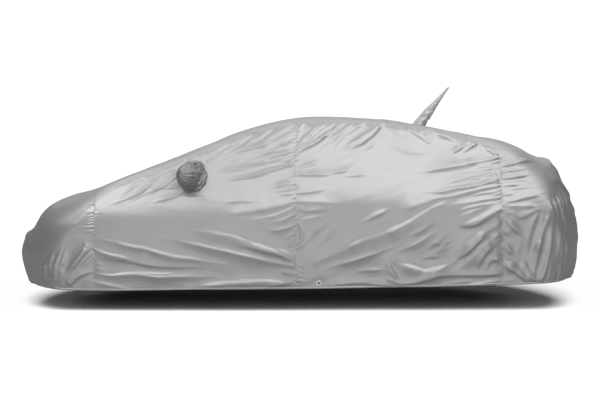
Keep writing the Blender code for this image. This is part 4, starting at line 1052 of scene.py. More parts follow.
    def seam_lines(self) -> list[np.ndarray]:
        """Grid lines that carry the stitches on both sides of each seam."""
        row, found = SEAM_STITCH_ROW, []
        over = np.arange(self.girth)
        for station in (self.front - row, self.front + row):
            found.append(self.index(station, over))
        for station in (self.middle, self.rear):
            for at in (station - row, station + row):
                found += [self.index(at, over[:self.side_rows]), self.index(at, over[-self.side_rows:])]
        along = np.arange(self.front, self.count)
        for shoulder in (self.side_rows - 1, self.girth - self.side_rows):
            found += [self.index(along, shoulder - row), self.index(along, shoulder + row)]
        return found + [self.tail[-1 - row]]

    def hem_lines(self) -> list[np.ndarray]:
        """Grid lines that carry the hem's stitches: one closed run round the cover."""
        row, along = HEM_STITCH_ROW, np.arange(self.count)
        return [self.index(along, row), self.tail[row], self.index(along[::-1], self.girth - 1 - row),
                self.nose[row][::-1]]

    def face_quads(self, numbers: np.ndarray, flip: bool) -> np.ndarray:
        """Quads of an end face."""
        quads = np.stack([numbers[:-1, :-1], numbers[:-1, 1:], numbers[1:, 1:], numbers[1:, :-1]],
                         axis=-1).reshape(-1, 4)
        return quads[:, ::-1] if flip else quads


# --- meshes -----------------------------------------------------------------------------------
def place_object(name: str, mesh: bpy.types.Mesh) -> bpy.types.Object:
    """Put a mesh in the scene as an object at the origin."""
    made = bpy.data.objects.new(name, mesh)
    bpy.context.scene.collection.objects.link(made)
    return made


def mesh_from_arrays(name: str, points: np.ndarray, quads: np.ndarray,
                     corner_map: np.ndarray | None = None) -> bpy.types.Mesh:
    """Make a smooth mesh of quads.

    Args:
        name: Name of the mesh.
        points: Places of its points, (n, 3).
        quads: Numbers of its quads' corners, (m, 4).
        corner_map: Cloth map of every corner, (m * 4, 2), in metres.

    Returns:
        The mesh.
    """
    mesh = bpy.data.meshes.new(name)
    mesh.vertices.add(len(points))
    mesh.vertices.foreach_set("co", np.ascontiguousarray(points, dtype=np.float32).ravel())
    mesh.loops.add(quads.size)
    mesh.loops.foreach_set("vertex_index", np.ascontiguousarray(quads, dtype=np.int32).ravel())
    mesh.polygons.add(len(quads))
    mesh.polygons.foreach_set("loop_start", np.arange(0, quads.size, 4, dtype=np.int32))
    if corner_map is not None:
        layer = mesh.uv_layers.new(name="cloth")
        layer.uv.foreach_set("vector", np.ascontiguousarray(corner_map, dtype=np.float32).ravel())
    mesh.update(calc_edges=True)
    mesh.validate()
    mesh.polygons.foreach_set("use_smooth", np.ones(len(mesh.polygons), dtype=bool))
    return mesh


def bake_modifiers(made: bpy.types.Object) -> None:
    """Turn an object with modifiers into one with a plain mesh."""
    graph = bpy.context.evaluated_depsgraph_get()
    mesh = bpy.data.meshes.new_from_object(made.evaluated_get(graph))
    made.modifiers.clear()
    old = made.data
    made.data = mesh
    bpy.data.meshes.remove(old)


def finish_piece(made: bpy.types.Object, material: bpy.types.Material) -> bpy.types.Object:
    """Give a piece its one material."""
    made.data.materials.clear()
    made.data.materials.append(material)
    return made


def thicken(made: bpy.types.Object, thickness: float) -> None:
    """Give a piece of cloth its thickness, inwards from its face."""
    wall = made.modifiers.new("wall", "SOLIDIFY")
    wall.thickness = thickness
    wall.offset = -1.0


def join_frame(made: bpy.types.Object, slot: str, *nodes: str) -> None:
    """Hang a finished piece on the body and hide the model's nodes that it stands for."""
    if nodes:
        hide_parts(*nodes)
    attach(made, BODY)


def cloth_area(quads: np.ndarray, points: np.ndarray) -> float:
    """Area of a grid of quads."""
    a, b, c, d = (points[quads[:, k]] for k in range(4))
    return float(0.5 * np.linalg.norm(np.cross(c - a, d - b), axis=1).sum())


@dataclass(frozen=True)
class Opening:
    """Round hole cut in a panel, seen along one axis."""

    centre: tuple           # two places of its centre
    size: tuple             # its half sizes along those two
    axes: tuple             # which axes those are, then the one it is seen along
    turned: bool            # whether its edge is turned in

    def level(self, points: np.ndarray) -> np.ndarray:
        """Distance of points from the centre, in half sizes."""
        a, b, _ = self.axes
        return np.hypot((points[:, a] - self.centre[0]) / self.size[0],
                        (points[:, b] - self.centre[1]) / self.size[1])

    def snap(self, points: np.ndarray, normals: np.ndarray, rim: np.ndarray) -> None:
        """Slide the border points in rim along the cloth on to the hole's edge."""
        a, b, c = self.axes
        share = 1 / self.level(points[rim]) - 1
        da, db = (share * (points[rim, k] - m) for k, m in zip((a, b), self.centre))
        slope = (normals[rim, a] * da + normals[rim, b] * db) / normals[rim, c]
        points[rim, a] += da
        points[rim, b] += db
        points[rim, c] -= slope


@dataclass
class Panel:
    """One sewn panel of the cover."""

    name: str
    nodes: tuple            # CAD nodes that it stands for
    quads: np.ndarray
    face_quads: np.ndarray  # those of its quads that lie on an end's own face
    flat: tuple             # width and length that it was cut to
    openings: tuple = ()
    allowance: float = 0.009    # cloth turned in along a seam
    turn_up: float = 0.012      # cloth turned up inside the hem

    CELL = 0.012                # border points this near a hole's edge belong to it
    CLEAR = 0.0001              # half the clearance between sewn panels
    INSIDE = 0.0035             # how far the turned-up hem lies behind the face
    SHARP = math.radians(62)    # edges bent by more than this stay sharp

    def inward_steps(self, quads: np.ndarray, points: np.ndarray, normals: np.ndarray) -> np.ndarray:
        """Unit steps along the cloth from each point into the cloth of its quads."""
        inward = np.zeros(points.shape)
        centre = points[quads].mean(axis=1)
        for k in range(4):
            np.add.at(inward, quads[:, k], centre - points[quads[:, k]])
        inward -= normals * (inward * normals).sum(axis=1, keepdims=True)
        return inward / np.maximum(np.linalg.norm(inward, axis=1, keepdims=True), 1e-9)

    def build(self, loft: Loft, material: bpy.types.Material) -> bpy.types.Object:
        """Make the panel with its seam allowance, turned hem and thickness.

        Args:
            loft: The cover's grid.
            material: Finish of the cloth.

        Returns:
            The finished object.
        """
        for hole in self.openings:
            centre = loft.points[self.quads].mean(axis=1)
            near = centre[:, 1] * loft.points[self.quads[0, 0], 1] > 0 if hole.axes[2] == 1 else True
            self.quads = self.quads[~((hole.level(centre) < 1) & near)]
        used, local = np.unique(np.concatenate([self.quads, self.face_quads]), return_inverse=True)
        quads_local = local.reshape(-1, 4)
        points, normals = loft.points[used].copy(), loft.normals[used]
        corner_map = np.concatenate([loft.body_map[self.quads.reshape(-1)],
                                     loft.face_map[self.face_quads.reshape(-1)]])
        self.area = cloth_area(quads_local, points)
        edges = np.stack([quads_local, np.roll(quads_local, -1, axis=1)], axis=-1).reshape(-1, 2)
        code, back = edges[:, 0] * len(used) + edges[:, 1], edges[:, 1] * len(used) + edges[:, 0]
        border = edges[~np.isin(code, back)]
        rim = np.unique(border)
        at_hem = loft.hem_gap[used] < 1e-6
        inward = self.inward_steps(quads_local, points, normals)
        raw = np.zeros(len(points), dtype=bool)
        held = np.zeros(len(points), dtype=bool)
        for hole in self.openings:
            edge = rim[hole.level(points[rim]) < 1 + self.CELL / min(hole.size)]
            hole.snap(points, normals, edge)
            held[edge] = True
            raw[edge] = not hole.turned
        seam_rim = rim[~at_hem[rim] & ~held[rim]]
        points[seam_rim] += self.CLEAR * inward[seam_rim]
        hem_edge = at_hem[border].all(axis=1)
        new_points, new_quads = [points], [quads_local]
        total = len(points)
        for chosen, shift in ((border[~hem_edge & ~raw[border].any(axis=1)], -self.allowance * normals),
                              (border[hem_edge], -self.INSIDE * normals + np.array([0, 0, self.turn_up]))):
            if not len(chosen):
                continue
            line, place = np.unique(chosen, return_inverse=True)
            place = place.reshape(-1, 2) + total
            new_points.append(points[line] + shift[line])
            new_quads.append(np.stack([chosen[:, 1], chosen[:, 0], place[:, 0], place[:, 1]], axis=1))
            total += len(line)
        all_quads = np.concatenate(new_quads)
        corner_map = np.concatenate([corner_map, np.zeros(((len(all_quads) - len(quads_local)) * 4, 2))])
        mesh = mesh_from_arrays(self.name, np.concatenate(new_points), all_quads, corner_map)
        mesh.set_sharp_from_angle(angle=self.SHARP)
        made = place_object(self.name, mesh)
        thicken(made, CLOTH)
        finish_piece(made, material)
        join_frame(made, "cover_cloth", *self.nodes)
        return made


# --- pockets, sleeve and eyelets --------------------------------------------------------------
def ring_mesh(name: str, rings: np.ndarray, closed: bool) -> bpy.types.Mesh:
    """Make a smooth skin through rings of points.

    Args:
        name: Name of the mesh.
        rings: The points, (rings, points of a ring, 3), each ring turning the same way.
        closed: Whether the last ring is filled.

    Returns:
        The mesh, with a cloth map in metres.
    """
    count, around = rings.shape[:2]
    i, j = (g.reshape(-1) for g in np.meshgrid(np.arange(count - 1), np.arange(around), indexing="ij"))
    k = (j + 1) % around
    quads = np.stack([i * around + j, i * around + k, (i + 1) * around + k, (i + 1) * around + j], axis=1)
    step = np.linalg.norm(np.diff(rings, axis=0), axis=2).mean(axis=1)
    run = np.concatenate([[0], np.cumsum(step)])
    girth = np.linalg.norm(np.roll(rings, -1, axis=1) - rings, axis=2).sum(axis=1).max() / around
    corner_map = np.stack([np.stack([girth * (j + across), run[i + up]], axis=1)
                           for across, up in ((0, 0), (1, 0), (1, 1), (0, 1))], axis=1)
    mesh = mesh_from_arrays(name, rings.reshape(-1, 3), quads, corner_map.reshape(-1, 2))
    bm = bmesh.new()
    bm.from_mesh(mesh)
    if closed:
        bm.verts.ensure_lookup_table()
        bm.faces.new([bm.verts[(count - 1) * around + n] for n in range(around)]).smooth = True
    bmesh.ops.recalc_face_normals(bm, faces=bm.faces)
    bm.to_mesh(mesh)
    bm.free()
    return mesh


def skin_normals(rings: np.ndarray) -> np.ndarray:
    """Unit normals of a skin through rings, pointing away from the rings' centres."""
    along = np.gradient(rings, axis=0)
    around = (np.roll(rings, -1, axis=1) - np.roll(rings, 1, axis=1)) / 2
    normal = np.cross(along, around)
    normal /= np.maximum(np.linalg.norm(normal, axis=2, keepdims=True), 1e-12)
    out = rings - rings.mean(axis=1, keepdims=True)
    return normal * np.sign((normal * out).sum(axis=2).mean())


@dataclass
class MirrorPocket:
    """Pouch of cloth gathered on an elastic and sewn round a hole in the front side."""

    hand: float                             # -1 for the left, 1 for the right
    seed: int
    centre: tuple = (-0.768, 1.001)         # place and height of its mouth's centre
    mouth: tuple = (0.070, 0.100)           # half width and half height of its mouth
    leave: tuple = (0.006, 0.060)           # reach over which it leaves the slope of the side
    tip: tuple = (-0.893, 1.020)            # place and height of the point that its folds run to
    around: int = 140
    rows: int = 64
    flat: tuple = (0.62, 0.24)              # width and length that it was cut to

    # reach, half width, half height, how far the ring's centre lies to the rear
    PROFILE = (
        (-0.004, 0.070, 0.100, 0.000), (0.004, 0.072, 0.105, 0.000), (0.014, 0.073, 0.109, 0.000),
        (0.026, 0.071, 0.106, -0.004), (0.038, 0.068, 0.101, -0.012), (0.050, 0.068, 0.098, -0.024),
        (0.064, 0.069, 0.096, -0.037), (0.085, 0.071, 0.094, -0.049), (0.110, 0.071, 0.090, -0.057),
        (0.135, 0.066, 0.081, -0.061), (0.155, 0.050, 0.061, -0.062), (0.168, 0.030, 0.035, -0.062),
        (0.1735, 0.010, 0.011, -0.062), (0.1740, 0.003, 0.003, -0.062),
    )
    # folds that fan out from the tip: angle in degrees, half width in degrees, height in mm
    FAN = ((46, 8, 3.2), (24, 7, 3.0), (4, 6, 4.2), (-13, 6, 4.6),
           (-27, 5, 4.0), (-40, 5, 5.4), (-54, 5, 4.6), (-68, 5, 3.4))
    RING = (0.0048, 0.0090, 0.0150)     # heights of the coarse, fine and knotted crumples beside the elastic
    BAG = (0.0034, 0.0010)              # and of the coarse and fine ones on the bag

    def skin(self, form: Form) -> np.ndarray:
        """Rings of the pouch with its gathers and folds."""
        table = np.array(self.PROFILE)
        run = run_along(table[:, :2])
        reach, wide, high, shift = smooth_columns(run, table, np.linspace(0, run[-1], self.rows)[:, None])
        turn = np.linspace(0, 2 * math.pi, self.around, endpoint=False)[None, :]
        x = self.centre[0] + shift + wide * np.cos(turn)
        z = self.centre[1] + high * np.sin(turn)
        slope = step_up(reach, *self.leave)
        near = form.width(x, z)
        middle = form.width(np.array(self.centre[0]), np.array(self.centre[1]))
        y = self.hand * (near + (middle - near) * slope + reach)
        rings = np.stack([x, y, z], axis=2)
        normal = skin_normals(rings)
        rings = rings + normal * (self.gathers(reach, turn) + self.folds(x, z, reach))[..., None]
        rings[..., 2] -= ROOF_HEIGHT
        return rings

    def gathers(self, reach: np.ndarray, turn: np.ndarray) -> np.ndarray:
        """Sharp crumples beside the elastic, strongest at the upper rear, and long soft ones on the bag."""
        c, s = np.cos(turn + 3.0 * reach), np.sin(turn + 3.0 * reach)
        coarse = soft_noise(2.5 * c + 40, 2.5 * s + 3.0 * reach / 0.05, self.seed)
        fine = soft_noise(5.5 * c + 60, 5.5 * s + 3.5 * reach / 0.05, self.seed + 1)
        knots = 0.5 - np.abs(soft_noise(8.0 * c + 90, 8.0 * s + 5.0 * reach / 0.05, self.seed + 2))
        at_ring = step_up(reach, -0.002, 0.008) * (1 - step_up(reach, 0.050, 0.105))
        side = 0.60 + 0.6 * np.cos(turn - 0.9)
        ring = at_ring * side * (self.RING[0] * coarse + self.RING[1] * fine + self.RING[2] * knots)
        bag = step_up(reach, 0.036, 0.060) * (1 - step_up(reach, 0.120, 0.165))
        return ring + bag * (self.BAG[0] * coarse + self.BAG[1] * fine)

    def folds(self, x: np.ndarray, z: np.ndarray, reach: np.ndarray) -> np.ndarray:
        """Folds that fan out over the bag from its tip to the elastic."""
        dx, dz = x - self.tip[0], z - self.tip[1]
        away = np.hypot(dx, dz)
        angle = np.degrees(np.arctan2(dz, dx)) + 3.0 * soft_noise(away / 0.04, 0 * away, self.seed + 3)
        strength = step_up(away, 0.012, 0.050) * step_up(reach, 0.034, 0.060)
        total = np.zeros(np.broadcast(x, reach).shape)
        for middle, half, height in self.FAN:
            total += height / 1000 * np.exp(-((angle - middle) / half) ** 2)
        return total * strength

    def build(self, form: Form, material: bpy.types.Material) -> bpy.types.Object:
        """Make the pouch."""
        side = "left" if self.hand < 0 else "right"
        rings = self.skin(form)
        made = place_object("mirror_pouch_" + side, ring_mesh("mirror_pouch_" + side, rings, True))
        thicken(made, CLOTH)
        finish_piece(made, material)
        join_frame(made, "pocket_cloth", "mirror_pocket_" + side)
        return made


@dataclass
class AntennaSleeve:
    """Slanted tapered sleeve on the roof, cut from one folded piece and closed by a seam at the front."""

    place: float = 0.950                    # of its mouth's centre
    tip: tuple = (1.198, 1.728)             # place and height of its tip
    mouth: tuple = (0.048, 0.030)           # half length and half width of the hole under it
    lift: float = 0.008                     # height over the roof cloth where its axis starts
    tilt: float = 0.80                      # how square its upper rings stand to its axis
    seed: int = 401
    around: int = 84
    rows: int = 72
    flat: tuple = (0.32, 0.40)

    # share of the way to the tip, half length, half width
    PROFILE = (
        (0.00, 0.0560, 0.0370), (0.05, 0.0510, 0.0320), (0.10, 0.0468, 0.0270), (0.20, 0.0392, 0.0205),
        (0.31, 0.0325, 0.0165), (0.42, 0.0262, 0.0135), (0.54, 0.0205, 0.0110), (0.65, 0.0158, 0.0092),
        (0.75, 0.0118, 0.0076), (0.88, 0.0080, 0.0060), (0.96, 0.0062, 0.0050), (0.99, 0.0048, 0.0040),
        (1.00, 0.0020, 0.0018),
    )

    def roof(self, form: Form, x: np.ndarray, y: np.ndarray) -> np.ndarray:
        """Height of the roof cloth."""
        start = np.stack(np.broadcast_arrays(x, y, 0 * x + 1.0), axis=-1)
        return form.hit(start, np.broadcast_to(np.array([0.0, 0.0, 1.0]), start.shape))[..., 2]

    def skin(self, form: Form) -> np.ndarray:
        """Rings of the sleeve with its seam and crumples."""
        turn = np.linspace(0, 2 * math.pi, self.around, endpoint=False)[None, :]
        way = np.linspace(0, 1, self.rows)[:, None] ** 1.15
        table = np.array(self.PROFILE)
        long, wide = smooth_columns(table[:, 0], table[:, 1:], way)
        foot = float(self.roof(form, np.array(self.place), np.array(0.0))) + self.lift
        rise = (self.tip[0] - self.place) / (self.tip[1] - foot)
        x = self.place + (self.tip[0] - self.place) * way + long * np.cos(turn)
        y = wide * np.sin(turn)
        tilt = self.tilt * rise * step_up(way, 0.04, 0.35)
        z = foot + (self.tip[1] - foot) * way - tilt * long * np.cos(turn)
        on_roof = self.roof(form, x[0], y[0])
        z = z + (on_roof - z[0])[None, :] * (1 - step_up(way, 0.0, 0.16))
        z[0] = on_roof - 0.004
        rings = np.stack([x, y, z], axis=2)
        normal = skin_normals(rings)
        rings = rings + normal * self.unevenness(turn, way)[..., None]
        rings[..., 2] -= ROOF_HEIGHT
        return rings

    def unevenness(self, turn: np.ndarray, way: np.ndarray) -> np.ndarray:
        """Crumples that shrink towards the tip, soft pleats at the mouth and the flat seam at the front."""
        c, s = np.cos(turn), np.sin(turn)
        coarse = soft_noise(1.5 * c + 10, 1.5 * s + way / 0.085, self.seed)
        fine = soft_noise(3.2 * c + 30, 3.2 * s + way / 0.040, self.seed + 1)
        size = (1 - step_up(way, 0.15, 0.75)) * step_up(way, 0.0, 0.05)
        crumple = size * (0.0036 * coarse + 0.0016 * fine)
        crumple = crumple + 0.0004 * step_up(way, 0.3, 0.5) * (1 - way) * fine
        pleat = 0.0014 * np.cos(17 * turn + 3 * coarse) * np.exp(-(way / 0.05) ** 2) * step_up(way, 0.0, 0.02)
        front = np.abs(np.angle(np.exp(1j * (turn - math.pi))))
        length = step_up(way, 0.02, 0.08) * (1 - step_up(way, 0.94, 1.0))
        seam = 0.0034 * np.exp(-(front / 0.16) ** 2) * length
        trough = -0.0014 * np.exp(-((front - 0.42) / 0.18) ** 2) * (1 - step_up(way, 0.7, 1.0))
        return crumple + pleat + seam + trough

    def build(self, form: Form, material: bpy.types.Material) -> bpy.types.Object:
        """Make the sleeve."""
        rings = self.skin(form)
        made = place_object("antenna_sleeve", ring_mesh("antenna_sleeve", rings, True))
        thicken(made, CLOTH / 2)
        finish_piece(made, material)
        join_frame(made, "pocket_cloth", "antenna_pocket")
        return made


@dataclass
class Eyelet:
    """Two-part pressed eyelet: a rolled front flange, its barrel and a washer behind the cloth."""

    hand: float
    around: int = 56
    cut: float = 0.0112             # radius of the hole in the cloth

    SHARP = math.radians(48)        # edges bent by more than this stay sharp

    # radius and height over the cloth's face, in mm, round the section
    SECTION = (
        (8.0, -3.0), (8.0, 1.1), (8.15, 1.7), (8.6, 2.2), (9.4, 2.5), (10.6, 2.6), (12.4, 2.5), (14.4, 2.15),
        (16.2, 1.55), (17.3, 0.95), (17.85, 0.45), (18.0, 0.2), (17.8, 0.08), (10.4, 0.10), (9.7, -0.1),
        (9.5, -0.5), (9.5, -1.8), (10.0, -1.95), (16.6, -1.95), (17.0, -2.1), (17.0, -2.4), (16.5, -2.6),
        (12.4, -2.8), (10.6, -3.4), (9.6, -3.8), (8.7, -3.75), (8.2, -3.5),
    )

    def build(self, form: Form, material: bpy.types.Material) -> bpy.types.Object:
        """Make the eyelet square to the cloth."""
        side = "left" if self.hand < 0 else "right"
        start = np.array([EYELET_PLACE[0], 0.0, EYELET_PLACE[1]])
        face = form.hit(start, np.array([0.0, self.hand, 0.0]))
        out = form.normal(face)
        face = face - np.array([0, 0, ROOF_HEIGHT])
        across = np.cross(out, [0.0, 0.0, 1.0])
        across /= np.linalg.norm(across)
        up = np.cross(across, out)
        turn = np.linspace(0, 2 * math.pi, self.around, endpoint=False)[None, :, None]
        section = np.array(self.SECTION + self.SECTION[:1])[:, None, :] / 1000
        rings = (face + section[..., :1] * (np.cos(turn) * across + np.sin(turn) * up)
                 + section[..., 1:] * out)
        mesh = ring_mesh("eyelet_" + side, rings, False)
        bm = bmesh.new()
        bm.from_mesh(mesh)
        bmesh.ops.remove_doubles(bm, verts=bm.verts, dist=1e-6)
        bmesh.ops.recalc_face_normals(bm, faces=bm.faces)
        bm.to_mesh(mesh)
        bm.free()
        mesh.set_sharp_from_angle(angle=self.SHARP)
        made = finish_piece(place_object("eyelet_" + side, mesh), material)
        join_frame(made, "eyelet_metal", "grommet_" + side)
        return made


# --- stitching --------------------------------------------------------------------------------
@dataclass
class Stitching:
    """Rows of lockstitches that Geometry Nodes lay along lines on the cloth."""

    pitch: float = 0.0100       # from one stitch to the next; drawn long so that it shows
    length: float = 0.0068
    width: float = 0.0009
    seed: int = 7

    def tree(self) -> bpy.types.NodeTree:
        """Build the node tree."""
        tree = bpy.data.node_groups.new("lockstitch_rows", "GeometryNodeTree")
        face = tree.interface
        face.new_socket("Geometry", in_out="INPUT", socket_type="NodeSocketGeometry")
        for name in ("Pitch", "Stitch Length", "Stitch Width"):
            face.new_socket(name, in_out="INPUT", socket_type="NodeSocketFloat")
        face.new_socket("Seed", in_out="INPUT", socket_type="NodeSocketInt")
        face.new_socket("Thread", in_out="INPUT", socket_type="NodeSocketMaterial")
        face.new_socket("Geometry", in_out="OUTPUT", socket_type="NodeSocketGeometry")
        given = add_node(tree, "NodeGroupInput").outputs
        lift = add_node(tree, "GeometryNodeInputNamedAttribute",
                        {"data_type": "FLOAT_VECTOR", "in:Name": "lift"}).outputs["Attribute"]
        curve = add_node(tree, "GeometryNodeMeshToCurve", None, {"Mesh": given["Geometry"]})
        even = add_node(tree, "GeometryNodeResampleCurve", {"mode": "LENGTH"},
                        {"Curve": curve.outputs["Curve"], "Length": given["Pitch"]})
        raise_by = add_node(tree, "ShaderNodeVectorMath", {"operation": "SCALE", "in:3": 0.0003},
                            {"0": lift})
        raised = add_node(tree, "GeometryNodeSetPosition", None,
                          {"Geometry": even.outputs["Curve"], "Offset": raise_by.outputs["Vector"]})
        tangent = add_node(tree, "GeometryNodeInputTangent")
        turned = add_node(tree, "FunctionNodeAxesToRotation", {"primary_axis": "X", "secondary_axis": "Z"},
                          {"Primary Axis": tangent.outputs["Tangent"], "Secondary Axis": lift})
        stitch = add_node(tree, "GeometryNodeMeshIcoSphere", {"in:Radius": 0.5, "in:Subdivisions": 1})
        width = given["Stitch Width"]
        size = add_node(tree, "ShaderNodeCombineXYZ", None,
                        {"X": given["Stitch Length"], "Y": width, "Z": width})
        chance = add_node(tree, "FunctionNodeRandomValue", {"data_type": "FLOAT", "in:2": 0.86, "in:3": 1.08},
                          {"Seed": given["Seed"]})
        varied = add_node(tree, "ShaderNodeVectorMath", {"operation": "SCALE"},
                          {"0": size.outputs["Vector"], "3": chance.outputs[1]})
        placed = add_node(tree, "GeometryNodeInstanceOnPoints", None,
                          {"Points": raised.outputs["Geometry"], "Instance": stitch.outputs["Mesh"],
                           "Rotation": turned.outputs["Rotation"], "Scale": varied.outputs["Vector"]})
        real = add_node(tree, "GeometryNodeRealizeInstances", None, {"Geometry": placed.outputs["Instances"]})
        smooth = add_node(tree, "GeometryNodeSetShadeSmooth", None, {"Geometry": real.outputs["Geometry"]})
        dressed = add_node(tree, "GeometryNodeSetMaterial", None, {"Geometry": smooth.outputs["Geometry"],
                                                                  "Material": given["Thread"]})
        add_node(tree, "NodeGroupOutput", None, {"Geometry": dressed.outputs["Geometry"]})
        return tree

    def build(self, name: str, loft: Loft, lines: list[np.ndarray], tree: bpy.types.NodeTree,
              thread: bpy.types.Material) -> bpy.types.Object:
        """Lay the stitches along lines of the grid.

        Args:
            name: Name of the piece.
            loft: The cover's grid.
            lines: Numbers of the grid points of each line, in order.
            tree: The node tree.
            thread: Finish of the thread.

        Returns:
            The finished piece.
        """
        mesh = bpy.data.meshes.new(name)
        points = np.concatenate([loft.points[line] for line in lines])
        edges, start = [], 0
        for line in lines:
            edges += [(start + k, start + k + 1) for k in range(len(line) - 1)]
            start += len(line)
        mesh.from_pydata(points.tolist(), edges, [])
        lift = mesh.attributes.new("lift", "FLOAT_VECTOR", "POINT")
        lift.data.foreach_set("vector", np.concatenate([loft.normals[line] for line in lines])
                              .astype(np.float32).ravel())
        made = place_object(name, mesh)
        rows = made.modifiers.new("rows", "NODES")
        rows.node_group = tree
        values = {"Pitch": self.pitch, "Stitch Length": self.length, "Stitch Width": self.width,
                  "Seed": self.seed, "Thread": thread}
        for item in tree.interface.items_tree:
            if item.item_type == "SOCKET" and item.in_out == "INPUT" and item.name in values:
                rows[item.identifier] = values[item.name]
        bake_modifiers(made)
        finish_piece(made, thread)
        join_frame(made, "cover_cloth")
        return made


# --- finishes ---------------------------------------------------------------------------------
def linear(code: str) -> tuple[float, float, float, float]:
    """Linear colour of an sRGB hex value."""
    parts = [int(code[k:k + 2], 16) / 255 for k in (1, 3, 5)]
    return tuple(c / 12.92 if c <= 0.04045 else ((c + 0.055) / 1.055) ** 2.4 for c in parts) + (1.0,)


def add_node(tree: bpy.types.NodeTree, kind: str, settings: dict | None = None,
             links: dict | None = None) -> bpy.types.Node:
    """Add a node.

    Args:
        tree: The tree that it goes in.
        kind: Blender's name for its type.
        settings: Its properties, and under "in:NAME" or "in:NUMBER" the values of its inputs.
        links: Sockets that feed its inputs, by the input's name or number.

    Returns:
        The node.
    """
    node = tree.nodes.new(kind)
    for name, value in (settings or {}).items():
        if name.startswith("in:"):
            key = name[3:]
            node.inputs[int(key) if key.isdigit() else key].default_value = value
        else:
            setattr(node, name, value)
    for name, source in (links or {}).items():
        tree.links.new(source, node.inputs[int(name) if name.isdigit() else name])
    return node


def new_material(name: str) -> tuple[bpy.types.Material, bpy.types.NodeTree, bpy.types.Node]:
    """Material with a bare shader: the material, its tree and its shader."""
    material = bpy.data.materials.new(name)
    material.use_nodes = True
    return material, material.node_tree, material.node_tree.nodes["Principled BSDF"]


@dataclass(frozen=True)
class CoatedTaffeta:
    """Polyester taffeta with a silver-grey coating: a soft metallic sheen with faint crinkles."""

    name: str = "silver_coated_polyester_taffeta"
    light: str = "#C3C3C4"
    dark: str = "#B4B4B6"
    metallic: float = 0.65
    roughness: float = 0.40
    patchy: float = 0.035       # how far the crinkles change the roughness
    crinkle: float = 0.022      # size of the coating's crinkles
    rib: float = 0.0026         # pitch of the ribs; real taffeta has 0.3 mm, drawn coarser so that it shows

    def make(self) -> bpy.types.Material:
        """Build the material."""
        material, tree, shader = new_material(self.name)
        where = add_node(tree, "ShaderNodeTexCoord")
        shader.inputs["Metallic"].default_value = self.metallic
        shader.inputs["Sheen Weight"].default_value = 0.05
        shader.inputs["Sheen Roughness"].default_value = 0.4
        clouds = add_node(tree, "ShaderNodeTexNoise", {"in:Scale": 3.0, "in:Detail": 3.0},
                          {"Vector": where.outputs["Object"]})
        tint = add_node(tree, "ShaderNodeMix", {"data_type": "RGBA", "in:6": linear(self.light),
                                                "in:7": linear(self.dark)}, {"0": clouds.outputs["Fac"]})
        tree.links.new(tint.outputs[2], shader.inputs["Base Color"])
        crinkles = add_node(tree, "ShaderNodeTexNoise",
                            {"in:Scale": 1 / self.crinkle, "in:Detail": 2.5, "in:Roughness": 0.55},
                            {"Vector": where.outputs["Object"]})
        soft = add_node(tree, "ShaderNodeMapRange",
                        {"in:3": self.roughness - self.patchy, "in:4": self.roughness + self.patchy},
                        {"Value": crinkles.outputs["Fac"]})
        tree.links.new(soft.outputs["Result"], shader.inputs["Roughness"])
        ribs = add_node(tree, "ShaderNodeTexWave", {"wave_type": "BANDS", "bands_direction": "Y",
                                                    "in:Scale": 1 / (self.rib * 20), "in:Distortion": 0.4},
                        {"Vector": where.outputs["UV"]})
        low = add_node(tree, "ShaderNodeBump", {"in:Strength": 0.25, "in:Distance": 0.0008},
                       {"Height": crinkles.outputs["Fac"]})
        fine = add_node(tree, "ShaderNodeBump", {"in:Strength": 0.06, "in:Distance": 0.0002},
                        {"Height": ribs.outputs["Fac"], "Normal": low.outputs["Normal"]})
        tree.links.new(fine.outputs["Normal"], shader.inputs["Normal"])
        return material


@dataclass(frozen=True)
class SewingThread:
    """Bonded polyester thread, twisted: matt grey with a slight gloss on its strands."""

    name: str = "bonded_polyester_thread"
    colour: str = "#C4C4C6"
    twist: float = 0.0009       # length of one turn of the strands

    def make(self) -> bpy.types.Material:
        """Build the material."""
        material, tree, shader = new_material(self.name)
        where = add_node(tree, "ShaderNodeTexCoord")
        strands = add_node(tree, "ShaderNodeTexWave", {"wave_type": "BANDS", "bands_direction": "DIAGONAL",
                                                       "in:Scale": 1 / (self.twist * 20)},
                           {"Vector": where.outputs["Object"]})
        shade = add_node(tree, "ShaderNodeMix", {"data_type": "RGBA", "in:6": linear("#A8A8AA"),
                                                 "in:7": linear(self.colour)}, {"0": strands.outputs["Fac"]})
        tree.links.new(shade.outputs[2], shader.inputs["Base Color"])
        shader.inputs["Roughness"].default_value = 0.6
        return material


@dataclass(frozen=True)
class NickelPlate:
    """Nickel-plated pressed brass: bright, slightly brushed from the setting tool."""

    name: str = "nickel_plated_brass"
    colour: str = "#F2F1EE"
    grain: float = 0.0012       # width of the polishing marks

    def make(self) -> bpy.types.Material:
        """Build the material."""
        material, tree, shader = new_material(self.name)
        where = add_node(tree, "ShaderNodeTexCoord")
        marks = add_node(tree, "ShaderNodeTexNoise", {"in:Scale": 1 / self.grain, "in:Detail": 2.0},
                         {"Vector": where.outputs["Object"]})
        shade = add_node(tree, "ShaderNodeMix", {"data_type": "RGBA", "in:6": linear(self.colour),
                                                 "in:7": linear("#E4E3DF")}, {"0": marks.outputs["Fac"]})
        tree.links.new(shade.outputs[2], shader.inputs["Base Color"])
        rough = add_node(tree, "ShaderNodeMapRange", {"in:3": 0.30, "in:4": 0.42},
                         {"Value": marks.outputs["Fac"]})
        tree.links.new(rough.outputs["Result"], shader.inputs["Roughness"])
        shader.inputs["Metallic"].default_value = 0.6
        return material


